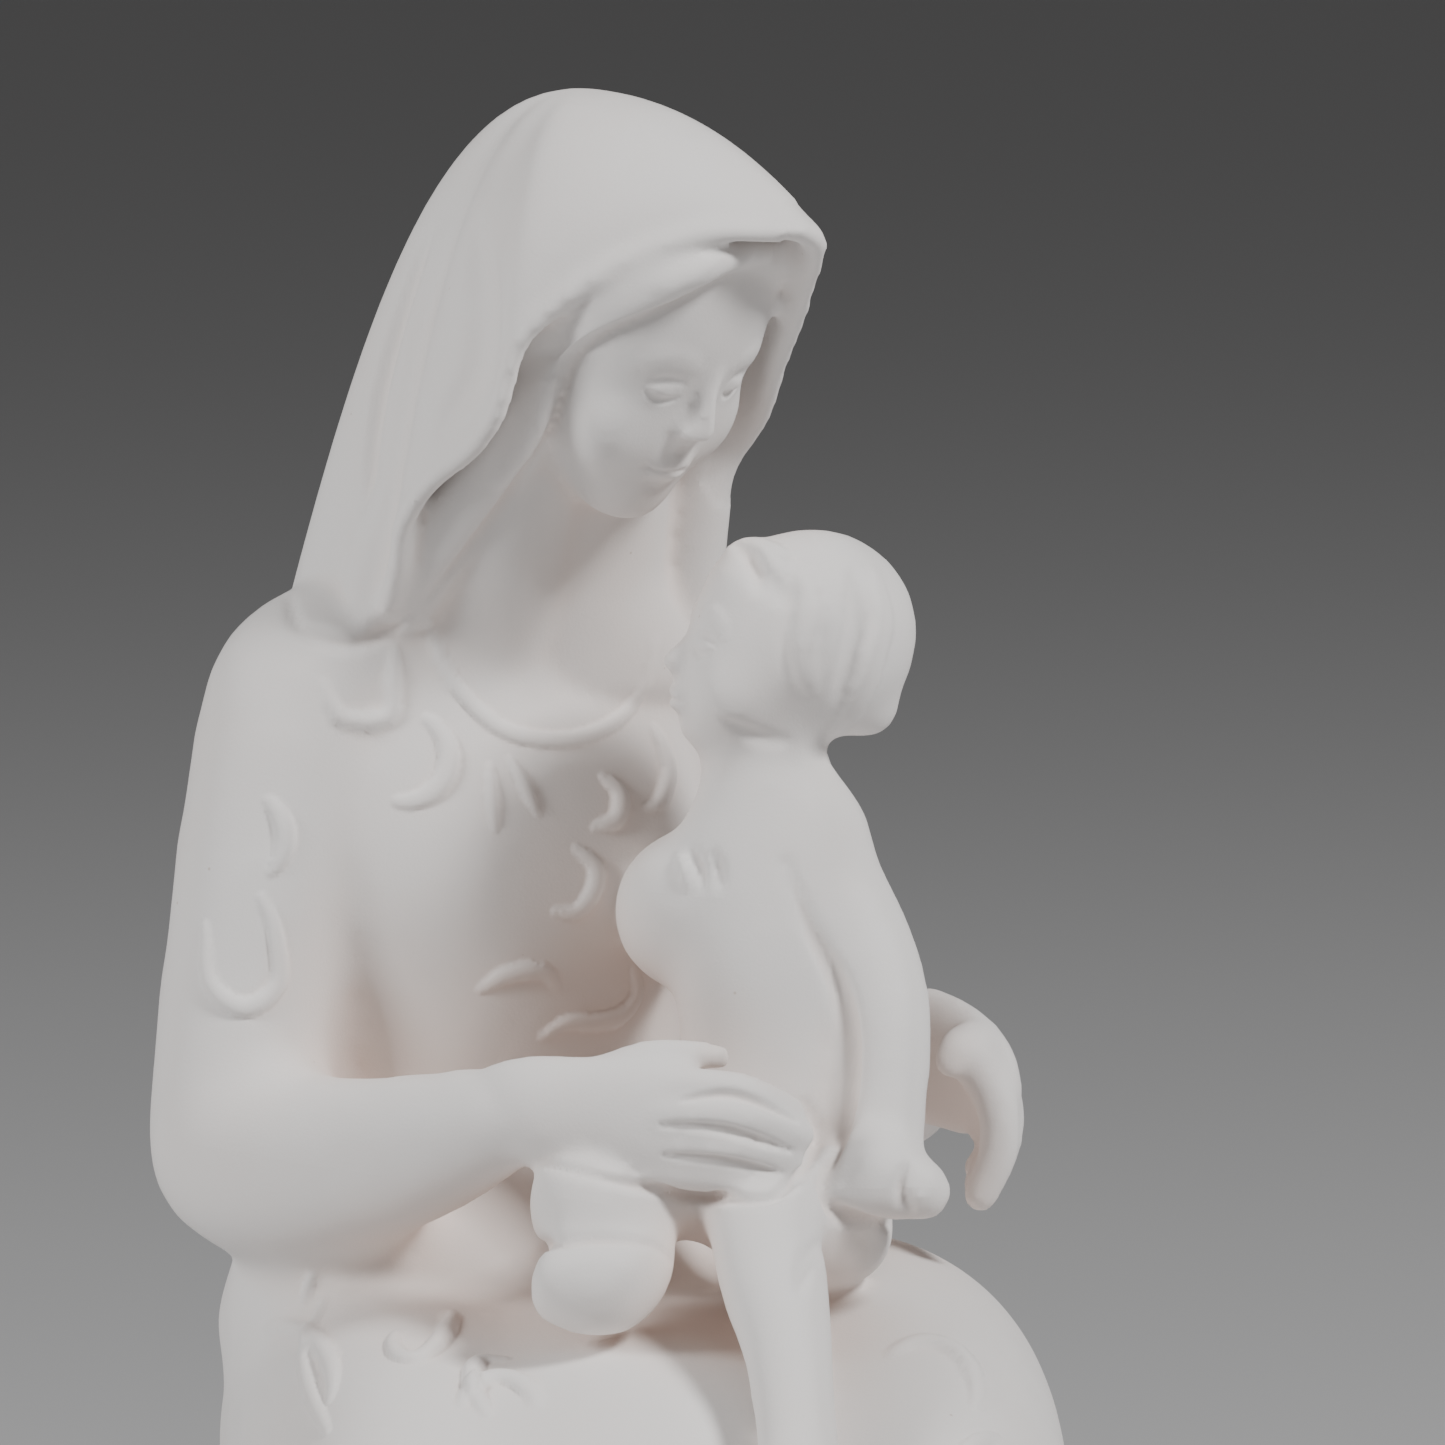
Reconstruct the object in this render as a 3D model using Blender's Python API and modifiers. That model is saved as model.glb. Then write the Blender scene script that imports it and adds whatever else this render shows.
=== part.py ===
# Seated virgin in a hooded veil with the child on her lap, one slip-cast bisque figure
# on a low oval base. The camera side of the figure looks towards -Y and +Z is up.
# The figure is laid out in units of a 290th of its height, which is 1 mm at the real size.

import bmesh
import bpy
import numpy as np
from math import copysign, cos, pi, radians, sin
from mathutils import Matrix, Vector
from mathutils.bvhtree import BVHTree

# Real sizes, in metres
FIGURE_HEIGHT = 0.290
BASE_WIDTH = 0.134
BASE_DEPTH = 0.156
BASE_HEIGHT = 0.012
BASE_EDGE = 0.004
VEIL_THICKNESS = 0.0024
VEIL_ROLL = 0.0016
BODY_GRAIN = 0.0022
FLESH_GRAIN = 0.0013
FINE_GRAIN = 0.0011

# How far the skins are softened, in rounds, and how many facets are kept
BODY_SOFTENING = 10
FLESH_SOFTENING = 6
SKIN_SOFTENING = 10
SKIN_HOLD = 0.9
FACETS = 9700
OVAL_SIDES = 96

# The study: a unit, where the base's top and middle lie in it, and the eye it is drawn from
UNIT = FIGURE_HEIGHT / 290
GROUND = 12.0
MIDDLE_X = 7.0
MIDDLE_Y = -32.0
EYE_DISTANCE = 1011.0
EYE_TILT = radians(8)
LINE_STEP = 0.6
BOARD = Vector((14.06, 0.0, 222.0))

# Her shoulders face a little to the right of the view, and so do her knees
TORSO_SIDE = (0.951, 0.309, 0.0)
LAP_SIDE = (0.97, 0.24, 0.0)

# Heads: middle, height, turn and nod
MOTHER_HEAD = (2.0, -12.5, 273.5)
MOTHER_HEAD_HEIGHT = 46.0
MOTHER_TURN = 43
MOTHER_NOD = 27
CHILD_HEAD = (22.7, -24.0, 233.2)
CHILD_HEAD_HEIGHT = 30.2
CHILD_TURN = -78
CHILD_NOD = -14
VEIL_CROWN = (-3.5, -7.0, 302.2)
VEIL_CALMING = 20
HOOD_MIDDLE = (4.0, 258.0)

NAME = "virgin_and_child"
BISQUE = (0.83, 0.80, 0.77, 1.0)
BISQUE_ROUGHNESS = 0.62

SETTING = Matrix.Translation((0, 0, BASE_HEIGHT)) @ Matrix.Scale(UNIT, 4)
SETTING = SETTING @ Matrix.Translation((-MIDDLE_X, -MIDDLE_Y, -GROUND))


def eye():
    return BOARD + Vector((0, -cos(EYE_TILT), sin(EYE_TILT))) * EYE_DISTANCE


def on_board(x, z):
    rise = Vector((0, sin(EYE_TILT), cos(EYE_TILT)))
    return BOARD + Vector((x - BOARD.x, 0, 0)) + rise * (z - BOARD.z)


def seen(x, y, z):
    # The point at depth y that the eye sees at (x, z) on the board
    start = eye()
    sight = on_board(x, z) - start
    return start + sight * ((y - start.y) / sight.y)


def drawn(rows):
    # Rows of x, y, z and radii, with x and z read on the board
    return [(*seen(*row[:3]), *row[3:]) for row in rows]


def through(rows, steps):
    # A smooth run of values through the given rows
    rows = np.array(rows, float)
    run = np.vstack([2 * rows[0] - rows[1], rows, 2 * rows[-1] - rows[-2]])
    found = []
    for before, a, b, after in zip(run, run[1:], run[2:], run[3:]):
        for t in np.arange(steps) / steps:
            bend = 2 * before - 5 * a + 4 * b - after
            twist = 3 * a - before - 3 * b + after
            found.append(a + 0.5 * t * (b - before + t * (bend + t * twist)))
    found.append(rows[-1])
    return np.array(found)


def loft(form, rows, side=(1, 0, 0), pose=Matrix(), steps=4, round_sides=20, dome=0.8,
         square=1.0):
    # A limb through rows of x, y, z, half width along the side and half depth
    rows = through([row if len(row) == 5 else (*row, row[3]) for row in rows], steps)
    path = rows[:, :3]
    along = np.gradient(path, axis=0)
    along /= np.linalg.norm(along, axis=1)[:, None]
    rings = [(path[i], along[i], rows[i, 3], rows[i, 4]) for i in range(len(rows))]
    for turn in (20, 45, 70, 86):
        for i, way in ((0, -1), (len(rows) - 1, 1)):
            reach = way * dome * min(rows[i, 3:]) * sin(radians(turn))
            shrink = cos(radians(turn))
            ring = (path[i] + along[i] * reach, along[i], rows[i, 3] * shrink, rows[i, 4] * shrink)
            rings.insert(0 if way < 0 else len(rings), ring)
    setting = SETTING @ pose
    angles = [2 * pi * i / round_sides for i in range(round_sides)]
    last = None
    width = Vector(side)
    for middle, forward, wide, deep in rings:
        forward = Vector(forward)
        width = (width - forward * width.dot(forward)).normalized()
        depth = forward.cross(width)
        ring = []
        for angle in angles:
            across = copysign(abs(cos(angle)) ** square, cos(angle)) * wide
            back = copysign(abs(sin(angle)) ** square, sin(angle)) * deep
            ring.append(form.verts.new(setting @ (Vector(middle) + width * across + depth * back)))
        if last:
            for i in range(round_sides):
                j = (i + 1) % round_sides
                form.faces.new((last[i], last[j], ring[j], ring[i]))
        else:
            form.faces.new(ring[::-1])
        last = ring
    form.faces.new(last)


def lump(form, middle, radii, pose=Matrix()):
    # An ellipsoid of the given half lengths
    matrix = SETTING @ pose @ Matrix.Translation(middle) @ Matrix.Diagonal((*radii, 1))
    bmesh.ops.create_uvsphere(form, u_segments=20, v_segments=14, radius=1, matrix=matrix)


def baked(thing):
    depsgraph = bpy.context.evaluated_depsgraph_get()
    mesh = bpy.data.meshes.new_from_object(thing.evaluated_get(depsgraph))
    bpy.data.objects.remove(thing)
    return mesh


def study(form):
    mesh = bpy.data.meshes.new("study")
    form.to_mesh(mesh)
    form.free()
    thing = bpy.data.objects.new("study", mesh)
    bpy.context.scene.collection.objects.link(thing)
    return thing


def fused(form, grain):
    # All closed forms as one skin
    thing = study(form)
    fuse = thing.modifiers.new("fuse", "REMESH")
    fuse.mode = "VOXEL"
    fuse.voxel_size = grain
    return baked(thing)


def points_of(mesh):
    values = np.empty(len(mesh.vertices) * 3)
    mesh.vertices.foreach_get("co", values)
    return values.reshape(-1, 3)


def set_points(mesh, points):
    mesh.vertices.foreach_set("co", points.ravel())
    mesh.update()


def edges_of(mesh):
    values = np.empty(len(mesh.edges) * 2, int)
    mesh.edges.foreach_get("vertices", values)
    return values.reshape(-1, 2)


def averaged(points, edges):
    # Each point's neighbours' middle
    count = len(points)
    share = np.bincount(edges.ravel(), minlength=count)[:, None]
    total = np.empty_like(points)
    for axis in range(3):
        values = points[:, axis]
        total[:, axis] = np.bincount(edges[:, 0], values[edges[:, 1]], count)
        total[:, axis] += np.bincount(edges[:, 1], values[edges[:, 0]], count)
    return total / share


def relax(mesh, rounds, hold=0.0):
    # Softens the skin; hold near 1 gives back what each round shrinks
    points = points_of(mesh)
    edges = edges_of(mesh)
    for _ in range(rounds):
        points += 0.5 * (averaged(points, edges) - points)
        points -= 0.52 * hold * (averaged(points, edges) - points)
    set_points(mesh, points)


# Her body under the dress

def add_torso(form):
    torso = [
        (-8, 10, 112, 42, 30), (-10, 10, 137, 38, 29), (-11.5, 11, 155, 31, 24),
        (-13, 11, 172, 23.5, 18), (-13.5, 10, 190, 24.5, 19), (-14, 9, 206, 28.5, 19),
        (-14.5, 9, 219, 30, 16), (-15, 9, 229, 26, 12.5), (-15, 9, 236, 15, 10),
    ]
    loft(form, drawn(torso), TORSO_SIDE)
    lump(form, seen(-21.7, -4.6, 202), (12, 7, 14))
    lump(form, seen(1.1, 2.3, 202), (12, 7, 14))
    neck = [(-14, 8, 229, 13, 11), (-12.5, 4, 239, 10, 9.5), (-10, 0, 249, 9, 8.8), (-6, -4, 262, 9, 9)]
    loft(form, drawn(neck), TORSO_SIDE)
    loft(form, drawn([(-13, 8, 238, 8), (-24, 5, 234, 9), (-35, 1, 231, 10), (-41.3, -1, 226.5, 10.4)]))
    loft(form, drawn([(-13, 8, 238, 8), (-4, 11, 234, 9), (5, 15, 229.5, 9.5), (12, 18, 225.5, 9.5)]))


def add_arms(form):
    right = [
        (-40.9, -1, 225, 11), (-43.4, -3, 208, 11.3), (-45.8, -5, 190, 11.1), (-46.9, -7, 176, 11.4),
        (-46.7, -10, 167.3, 11.6), (-38, -19, 166, 11.6), (-28, -29, 167.5, 10.3),
        (-20, -37, 169.8, 8.8), (-12, -44, 172.8, 6.8),
    ]
    loft(form, drawn(right), (0, 1, 0))
    left = [
        (14, 19, 226, 10.5), (24, 26, 200, 10), (30, 30, 179, 9.5), (35, 22, 176, 9),
        (37.8, 8, 178.5, 9.5, 7.5), (40, -4, 180, 9, 6),
    ]
    loft(form, drawn(left), (1, 0, 0.5))


def add_lap(form):
    thighs = (
        [(-28, 8, 128, 25, 23), (-25.5, -20, 132, 22.5, 22), (-21, -48, 132, 21, 20), (-20, -73, 123, 19.5)],
        [(18, 16, 130, 24, 23), (31.5, -12, 136, 22.5, 21.5), (36, -40, 135, 21, 20.5), (36.5, -70, 124, 20)],
    )
    for thigh in thighs:
        loft(form, thigh, (0, 0, 1))
    lump(form, (5, -38, 132), (38, 47, 23.5))
    lump(form, (-18.5, 0, 145), (32, 28, 24))
    shins = (
        [(-20, -73, 121, 19, 18.5), (-20, -76, 90, 18.5, 18), (-20, -78, 50, 19, 18), (-19, -79, 16, 22, 20)],
        [(37.5, -70, 122, 19.5, 19), (37, -72, 90, 18.5), (36, -74, 50, 18.5, 18), (35, -75, 16, 21, 20)],
        [(8, -66, 118, 20, 18), (8, -70, 60, 20, 17), (8, -73, 14, 24, 21)],
    )
    for shin in shins:
        loft(form, shin, LAP_SIDE)
    skirt = [(6, -28, 7, 57, 65), (6, -26, 25, 53, 63), (6, -24, 60, 50, 61), (5, -22, 95, 50, 61),
             (4, -21, 114, 49, 58), (0, -16, 130, 40, 44)]
    loft(form, skirt, LAP_SIDE, round_sides=40, dome=0.2, square=0.75)
    for x, y in ((-17, -97), (34, -93)):
        loft(form, [(x, y + 14, 18, 8, 6), (x, y, 17, 7.5, 5.5), (x + 1, y - 6, 16, 6, 4.5)])


# Hands

def add_palms(form):
    right = [(-18, -40, 171.5, 7.4, 6.4), (-11, -45, 173, 6.6, 4.8), (-3, -48, 172.7, 7, 4),
             (4, -50, 171.8, 7.8, 3.8), (9.5, -51.2, 171, 7.6, 3.2)]
    left = [(39.5, -3, 180.2, 8.8, 5), (43.8, -10, 178.6, 8.4, 4.2), (47, -15, 176.3, 7.6, 3.4),
            (48.4, -18, 173, 6, 3)]
    for palm in (right, left):
        loft(form, drawn(palm), (0, 0, 1), dome=0.6)


def add_right_fingers(form):
    fingers = (
        ((6, -50.5, 175.9, 2.5), (12, -51.8, 176, 2.4), (17.5, -51.5, 175.2, 2.3), (23, -49.5, 172.9, 1.9)),
        ((6, -51.5, 172.6, 2.7), (12, -53, 172.6, 2.6), (18, -52.8, 172, 2.4), (24, -50.8, 169.9, 2.0)),
        ((6, -51.5, 169.2, 2.6), (12, -52.8, 168.8, 2.5), (17.5, -52.8, 168.3, 2.3), (22.8, -51, 166.9, 1.9)),
        ((5, -51, 165.9, 2.4), (11, -52, 165.3, 2.3), (16, -52, 164.8, 2.1), (20.6, -50.8, 164, 1.7)),
    )
    for finger in fingers:
        loft(form, drawn(finger), round_sides=12)
    thumb = [(-1, -46.5, 177.5, 2.6), (5, -47.5, 179.7, 2.3), (10, -47.5, 180.1, 1.9), (14, -46.8, 179.8, 1.5)]
    loft(form, drawn(thumb), round_sides=12)


def add_left_fingers(form):
    fingers = (
        ((46.6, -13, 179.5, 3), (49.3, -14.5, 174, 2.7), (49.2, -15, 169.5, 2.5), (46.4, -15.5, 165.6, 2.2)),
        ((46.4, -16, 179.5, 3), (49, -18, 174, 2.7), (49.1, -19, 168.5, 2.5), (46.3, -19.5, 163.5, 2.2)),
        ((46, -18.5, 179, 3), (48.6, -21.5, 174, 2.7), (48.8, -22.5, 168, 2.5), (46.4, -22.5, 162.2, 2.2)),
    )
    for finger in fingers:
        loft(form, drawn(finger), (0, 1, 0), round_sides=12)
    thumb = [(46.5, -14, 182.2, 2.8), (43.8, -19, 181.3, 2.3), (42.4, -20.5, 179.3, 1.8),
             (43.1, -20.5, 178.2, 1.3)]
    loft(form, drawn(thumb), round_sides=12)


# Heads, in shares of their height about their middle, looking towards -Y

def head_pose(middle, height, turn, nod):
    swing = Matrix.Rotation(radians(turn), 4, "Z") @ Matrix.Rotation(radians(nod), 4, "X")
    return Matrix.Translation(middle) @ swing @ Matrix.Scale(height, 4)


def add_pair(form, middle, radii, pose):
    for way in (-1, 1):
        lump(form, (way * middle[0], middle[1], middle[2]), radii, pose)


def add_mother_head(form):
    pose = head_pose(MOTHER_HEAD, MOTHER_HEAD_HEIGHT, MOTHER_TURN, MOTHER_NOD)
    lump(form, (0, 0.06, 0.13), (0.335, 0.41, 0.34), pose)
    # Height, half width, front and half depth of the face
    levels = (
        (0.38, 0.245, -0.30, 0.22), (0.28, 0.275, -0.355, 0.24), (0.16, 0.29, -0.38, 0.25),
        (0.09, 0.292, -0.375, 0.25), (0.01, 0.288, -0.352, 0.24), (-0.09, 0.282, -0.355, 0.24),
        (-0.18, 0.265, -0.355, 0.23), (-0.26, 0.235, -0.347, 0.215), (-0.33, 0.195, -0.338, 0.19),
        (-0.40, 0.145, -0.33, 0.155), (-0.45, 0.10, -0.305, 0.12),
    )
    face = [(0, front + deep, z, wide, deep) for z, wide, front, deep in levels]
    loft(form, face, pose=pose, round_sides=32, dome=0.4)
    add_pair(form, (0.15, -0.215, -0.13), (0.12, 0.10, 0.13), pose)
    add_pair(form, (0.19, -0.05, -0.17), (0.09, 0.15, 0.15), pose)


def add_mother_features(form):
    pose = head_pose(MOTHER_HEAD, MOTHER_HEAD_HEIGHT, MOTHER_TURN, MOTHER_NOD)
    nose = [(0, -0.352, 0.1, 0.02, 0.022), (0, -0.372, 0.0, 0.023, 0.028), (0, -0.395, -0.08, 0.03, 0.034),
            (0, -0.402, -0.118, 0.036, 0.03)]
    loft(form, nose, pose=pose, round_sides=14)
    add_pair(form, (0.036, -0.367, -0.13), (0.026, 0.03, 0.02), pose)
    lump(form, (0, -0.336, -0.232), (0.07, 0.024, 0.018), pose)
    lump(form, (0, -0.33, -0.268), (0.058, 0.026, 0.02), pose)
    add_pair(form, (0.12, -0.30, 0.0), (0.062, 0.05, 0.036), pose)
    for way in (-1, 1):
        hair = [(0, -0.30, 0.41, 0.05), (way * 0.15, -0.29, 0.37, 0.055), (way * 0.265, -0.19, 0.26, 0.055),
                (way * 0.31, -0.06, 0.08, 0.055), (way * 0.30, 0.06, -0.15, 0.065),
                (way * 0.22, 0.14, -0.4, 0.09)]
        loft(form, hair, (0, 1, 0), pose)


def add_child_head(form):
    pose = head_pose(CHILD_HEAD, CHILD_HEAD_HEIGHT, CHILD_TURN, CHILD_NOD)
    lump(form, (0, 0.085, 0.125), (0.405, 0.475, 0.44), pose)
    face = [
        (0, -0.12, 0.22, 0.33, 0.3), (0, -0.15, 0.0, 0.34, 0.275), (0, -0.16, -0.18, 0.31, 0.25),
        (0, -0.16, -0.3, 0.24, 0.21),
    ]
    loft(form, face, pose=pose, round_sides=24)
    add_pair(form, (0.19, -0.24, -0.17), (0.14, 0.13, 0.14), pose)
    lump(form, (0, -0.27, -0.375), (0.11, 0.1, 0.08), pose)


def add_child_features(form):
    pose = head_pose(CHILD_HEAD, CHILD_HEAD_HEIGHT, CHILD_TURN, CHILD_NOD)
    nose = [(0, -0.40, -0.04, 0.03), (0, -0.435, -0.12, 0.045)]
    loft(form, nose, pose=pose, round_sides=12)
    lump(form, (0, -0.39, -0.235), (0.085, 0.04, 0.028), pose)
    lump(form, (0, -0.375, -0.285), (0.07, 0.04, 0.03), pose)
    add_pair(form, (0.15, -0.345, -0.02), (0.075, 0.06, 0.045), pose)
    lump(form, (0.02, -0.25, 0.37), (0.12, 0.14, 0.09), pose)


# The child's body

def add_child(form):
    torso = [(19.5, -24, 216, 8, 8), (20.5, -24.5, 207, 12.5, 9.5), (20.5, -26, 194, 12.5, 10.5),
             (21.3, -27, 181, 12.5, 10.5), (22, -28, 169, 13.5, 11.5), (22, -29, 160, 13, 11)]
    loft(form, drawn(torso), dome=0.5)
    loft(form, drawn([(19.5, -24, 212, 8, 8), (18.8, -24, 218, 7.2, 7.2), (20.5, -24, 226, 9, 9)]))
    left_arm = [(24.2, -25, 207.5, 6.8), (28.6, -27, 199.8, 6.7), (31.5, -29, 195, 6.3),
                (34.1, -32, 189.5, 5.7), (35.3, -35, 183.6, 5.2), (35.4, -37.5, 176.9, 4.8),
                (34.9, -39.5, 170, 4.9)]
    loft(form, drawn(left_arm), (0, 1, 0))
    lump(form, seen(33.3, -41.5, 164.4), (6.6, 5.5, 6))
    lump(form, seen(39.2, -42.5, 163.2), (3.6, 4, 4))
    right_arm = [(19, -25, 204, 8), (12, -21.5, 198.8, 10.5), (9.5, -13, 198.3, 9.2), (8, -4, 198, 7)]
    loft(form, drawn(right_arm), (0, 0, 1))
    right_leg = [(18, -33, 162, 10), (8, -41, 161.5, 10), (0, -46.5, 160.5, 9.5), (-2.8, -49, 159.5, 9)]
    loft(form, drawn(right_leg), (0, 0, 1))
    foot = [(7.5, -51, 156.5, 5.5), (5.6, -54.5, 152.4, 6.4, 5), (0, -57, 150.2, 6.6, 4.4),
            (-7.4, -56.5, 151, 5.6, 4)]
    loft(form, drawn(foot), (0, 0, 1), dome=0.8)
    left_leg = [(24, -33, 159, 10), (20.3, -44, 160.5, 8.6), (19.4, -52, 158, 7), (20.6, -58, 151, 6.7),
                (22, -65, 145, 5.9), (22.9, -71, 138.5, 5.3), (23.4, -77, 132, 5.1)]
    loft(form, drawn(left_leg), (1, 0, 0))
    loft(form, drawn([(23.5, -77, 131, 5, 5), (23.9, -84, 127, 5.2, 4), (24.4, -91, 123.5, 4.6, 2.8)]))
    lump(form, seen(28.2, -35, 158.5), (7.6, 10, 7.6))


# The veil: a surface spread from the crown to its edge, then thickened inwards

def veil_edge():
    # Rows of x, y, z, the share of the way that the cloth leans in above the edge, and its rise
    near = [(26.6, -32, 283.2, 0.2, 0.55), (18.5, -33.5, 283.6, 0.2, 0.55), (11, -33.5, 281.9, 0.1, 0.6),
            (2.6, -32.5, 278, 0, 0.6), (-5.4, -31, 273, 0, 0.6), (-11, -28.5, 268, 0, 0.6),
            (-12.4, -27, 262.5, 0.05, 0.6), (-15.6, -24, 256.8, 0.1, 0.6), (-22.4, -19, 251, 0.15, 0.6),
            (-25.8, -15, 244.8, 0.2, 0.6), (-27, -10, 236.3, 0.25, 0.6)]
    hem = [(-35, -4, 233.2, 0.27, 0.6), (-41, 5, 235, 0.22, 0.6), (-40, 20, 225, 0.22, 0.6),
           (-25, 31, 212, 0.15, 0.6), (-6, 33, 210, 0.15, 0.6), (9, 28, 216, 0.15, 0.6)]
    far = [(12, 16, 236, 0.1, 0.6), (12, 11, 246, 0.05, 0.6), (16, 6.5, 254, 0, 0.6),
           (20.2, 1, 261, 0, 0.6), (22.4, -7, 269, 0, 0.6), (25.2, -19, 277.3, 0.1, 0.55)]
    return drawn(near + hem + far)


def add_lining(form):
    # Hair and inner cloth that fill the hood round the neck
    behind = [(-6, 0, 268, 14, 13), (-8, 3, 256, 16, 13), (-11, 7, 243, 19, 12.5), (-12, 10, 231, 25, 12)]
    loft(form, drawn(behind))
    near = [(-6.5, -21, 270, 3.5), (-10, -19, 262.5, 4), (-14, -15, 255.5, 4.2), (-19.5, -10, 247.5, 4.4),
            (-26, -4, 237.5, 4.6)]
    loft(form, drawn(near))
    loft(form, drawn([(11, 3, 263, 4.5), (9.5, 5, 253, 5.5), (7, 7, 243, 7), (5.5, 9, 234, 8)]))


def add_veil(form):
    crown = Vector(VEIL_CROWN)
    edge = veil_edge()
    rim = through([edge[-1], *edge, *edge[:2]], 4)[4:-4]
    rim = rim[:-1]
    calm = rim.copy()
    for _ in range(VEIL_CALMING):
        calm += 0.5 * ((np.roll(calm, 1, axis=0) + np.roll(calm, -1, axis=0)) / 2 - calm)
    shell = bmesh.new()
    top = shell.verts.new(SETTING @ crown)
    rings = []
    for t in np.linspace(0, 1, 17)[1:]:
        ring = []
        for (x, y, z, _, _), (calm_x, calm_y, calm_z, lean, rise) in zip(rim, calm):
            # The upper cloth heads for the calmed edge, and the edge's own waves come last
            foot = Vector((x, y, z))
            aim = Vector((calm_x, calm_y, calm_z))
            out = aim - crown
            out.z = 0
            first = crown + out * 0.5
            second = aim - out * lean + Vector((0, 0, (crown.z - calm_z) * rise))
            point = crown * (1 - t) ** 3 + first * 3 * t * (1 - t) ** 2
            point += second * 3 * t * t * (1 - t) + foot * t ** 3
            ring.append(shell.verts.new(SETTING @ point))
        rings.append(ring)
    count = len(rim)
    for i in range(count):
        j = (i + 1) % count
        shell.faces.new((top, rings[0][i], rings[0][j]))
        for inner, outer in zip(rings, rings[1:]):
            shell.faces.new((inner[i], outer[i], outer[j], inner[j]))
    bmesh.ops.recalc_face_normals(shell, faces=shell.faces[:])
    if shell.faces[0].normal.z < 0:
        bmesh.ops.reverse_faces(shell, faces=shell.faces[:])
    thing = study(shell)
    thicken = thing.modifiers.new("thickness", "SOLIDIFY")
    thicken.thickness = VEIL_THICKNESS
    thicken.offset = -1
    form.from_mesh(baked(thing))
    roll = VEIL_ROLL / UNIT
    front = []
    for x, y, z, _, _ in [*edge[-7:], *edge[:11]]:
        inwards = Vector((HOOD_MIDDLE[0] - x, 0, HOOD_MIDDLE[1] - z)).normalized() * roll * 0.7
        front.append((x + inwards.x, y, z + inwards.z, roll))
    loft(form, front, (0, 1, 0), round_sides=10)


def add_base(form):
    # An oval slab with a rounded upper edge, reaching below the ground that it is cut at
    half_width = BASE_WIDTH / 2
    half_depth = BASE_DEPTH / 2
    levels = [(-BASE_HEIGHT / 2, 0.0), (BASE_HEIGHT - BASE_EDGE, 0.0)]
    for angle in (30, 60, 90):
        drop = BASE_EDGE * (1 - sin(radians(angle)))
        levels.append((BASE_HEIGHT - drop, BASE_EDGE * (1 - cos(radians(angle)))))
    rings = []
    for height, inset in levels:
        ring = []
        for i in range(OVAL_SIDES):
            angle = 2 * pi * i / OVAL_SIDES
            x = (half_width - inset) * cos(angle)
            y = (half_depth - inset) * sin(angle)
            ring.append(form.verts.new((x, y, height)))
        rings.append(ring)
    form.faces.new(rings[0][::-1])
    form.faces.new(rings[-1])
    for low, high in zip(rings, rings[1:]):
        for i in range(OVAL_SIDES):
            j = (i + 1) % OVAL_SIDES
            form.faces.new((low[i], low[j], high[j], high[i]))


# Carving: tapered ridges and grooves laid along runs of points on the skin

def front_sight(x, z):
    # The eye's ray through a point of the board
    start = SETTING @ eye()
    return start, (SETTING @ on_board(x, z) - start).normalized()


def side_sight(azimuth):
    # Level rays at the figure's middle from an azimuth, 0 in front and 90 on the right
    turn = Matrix.Rotation(radians(azimuth), 4, "Z")

    def sight(x, z):
        start = turn @ Vector((x * UNIT, -FIGURE_HEIGHT, 0))
        start.z = BASE_HEIGHT + (z - GROUND) * UNIT
        return start, turn @ Vector((0, 1, 0))
    return sight


def laid(tree, sight, run):
    # Closely spaced places, with the skin's slope there, where the run's rays meet the skin
    found = []
    for x, z in run:
        place, slope, _, _ = tree.ray_cast(*sight(x, z))
        if place:
            found.append((*place, *slope))
    found = np.array(found)
    if len(found) < 3:
        return found
    steps = np.linalg.norm(np.diff(found[:, :3], axis=0), axis=1)
    reach = np.concatenate([[0], np.cumsum(steps)])
    marks = np.linspace(0, reach[-1], max(8, int(reach[-1] / (LINE_STEP * UNIT))))
    return np.stack([np.interp(marks, reach, column) for column in found.T], axis=1)


def carve(points, slopes, line, width, height):
    # Lifts the skin along the line by a height that tapers at both ends, or sinks it
    width *= UNIT
    height *= UNIT
    low = line[:, :3].min(axis=0) - 2.5 * width
    high = line[:, :3].max(axis=0) + 2.5 * width
    near = np.flatnonzero(np.all((points > low) & (points < high), axis=1))
    gap = np.linalg.norm(points[near, None] - line[None, :, :3], axis=2)
    closest = gap.argmin(axis=1)
    share = closest / (len(line) - 1)
    taper = np.sin(pi * (0.04 + 0.92 * share)) ** 0.6
    facing = np.clip((slopes[near] * line[closest, 3:]).sum(axis=1), 0, 1)
    reach = gap.min(axis=1) / (width * (0.45 + 0.55 * taper))
    lift = height * taper * facing * np.exp(-reach ** 2)
    points[near] += slopes[near] * lift[:, None]


def bow(x, z, radius, start, end, count=14):
    angles = np.radians(np.linspace(start, end, count))
    return [(x + radius * cos(angle), z + radius * sin(angle)) for angle in angles]


def wave(rows):
    return through(rows, 5).tolist()


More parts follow.
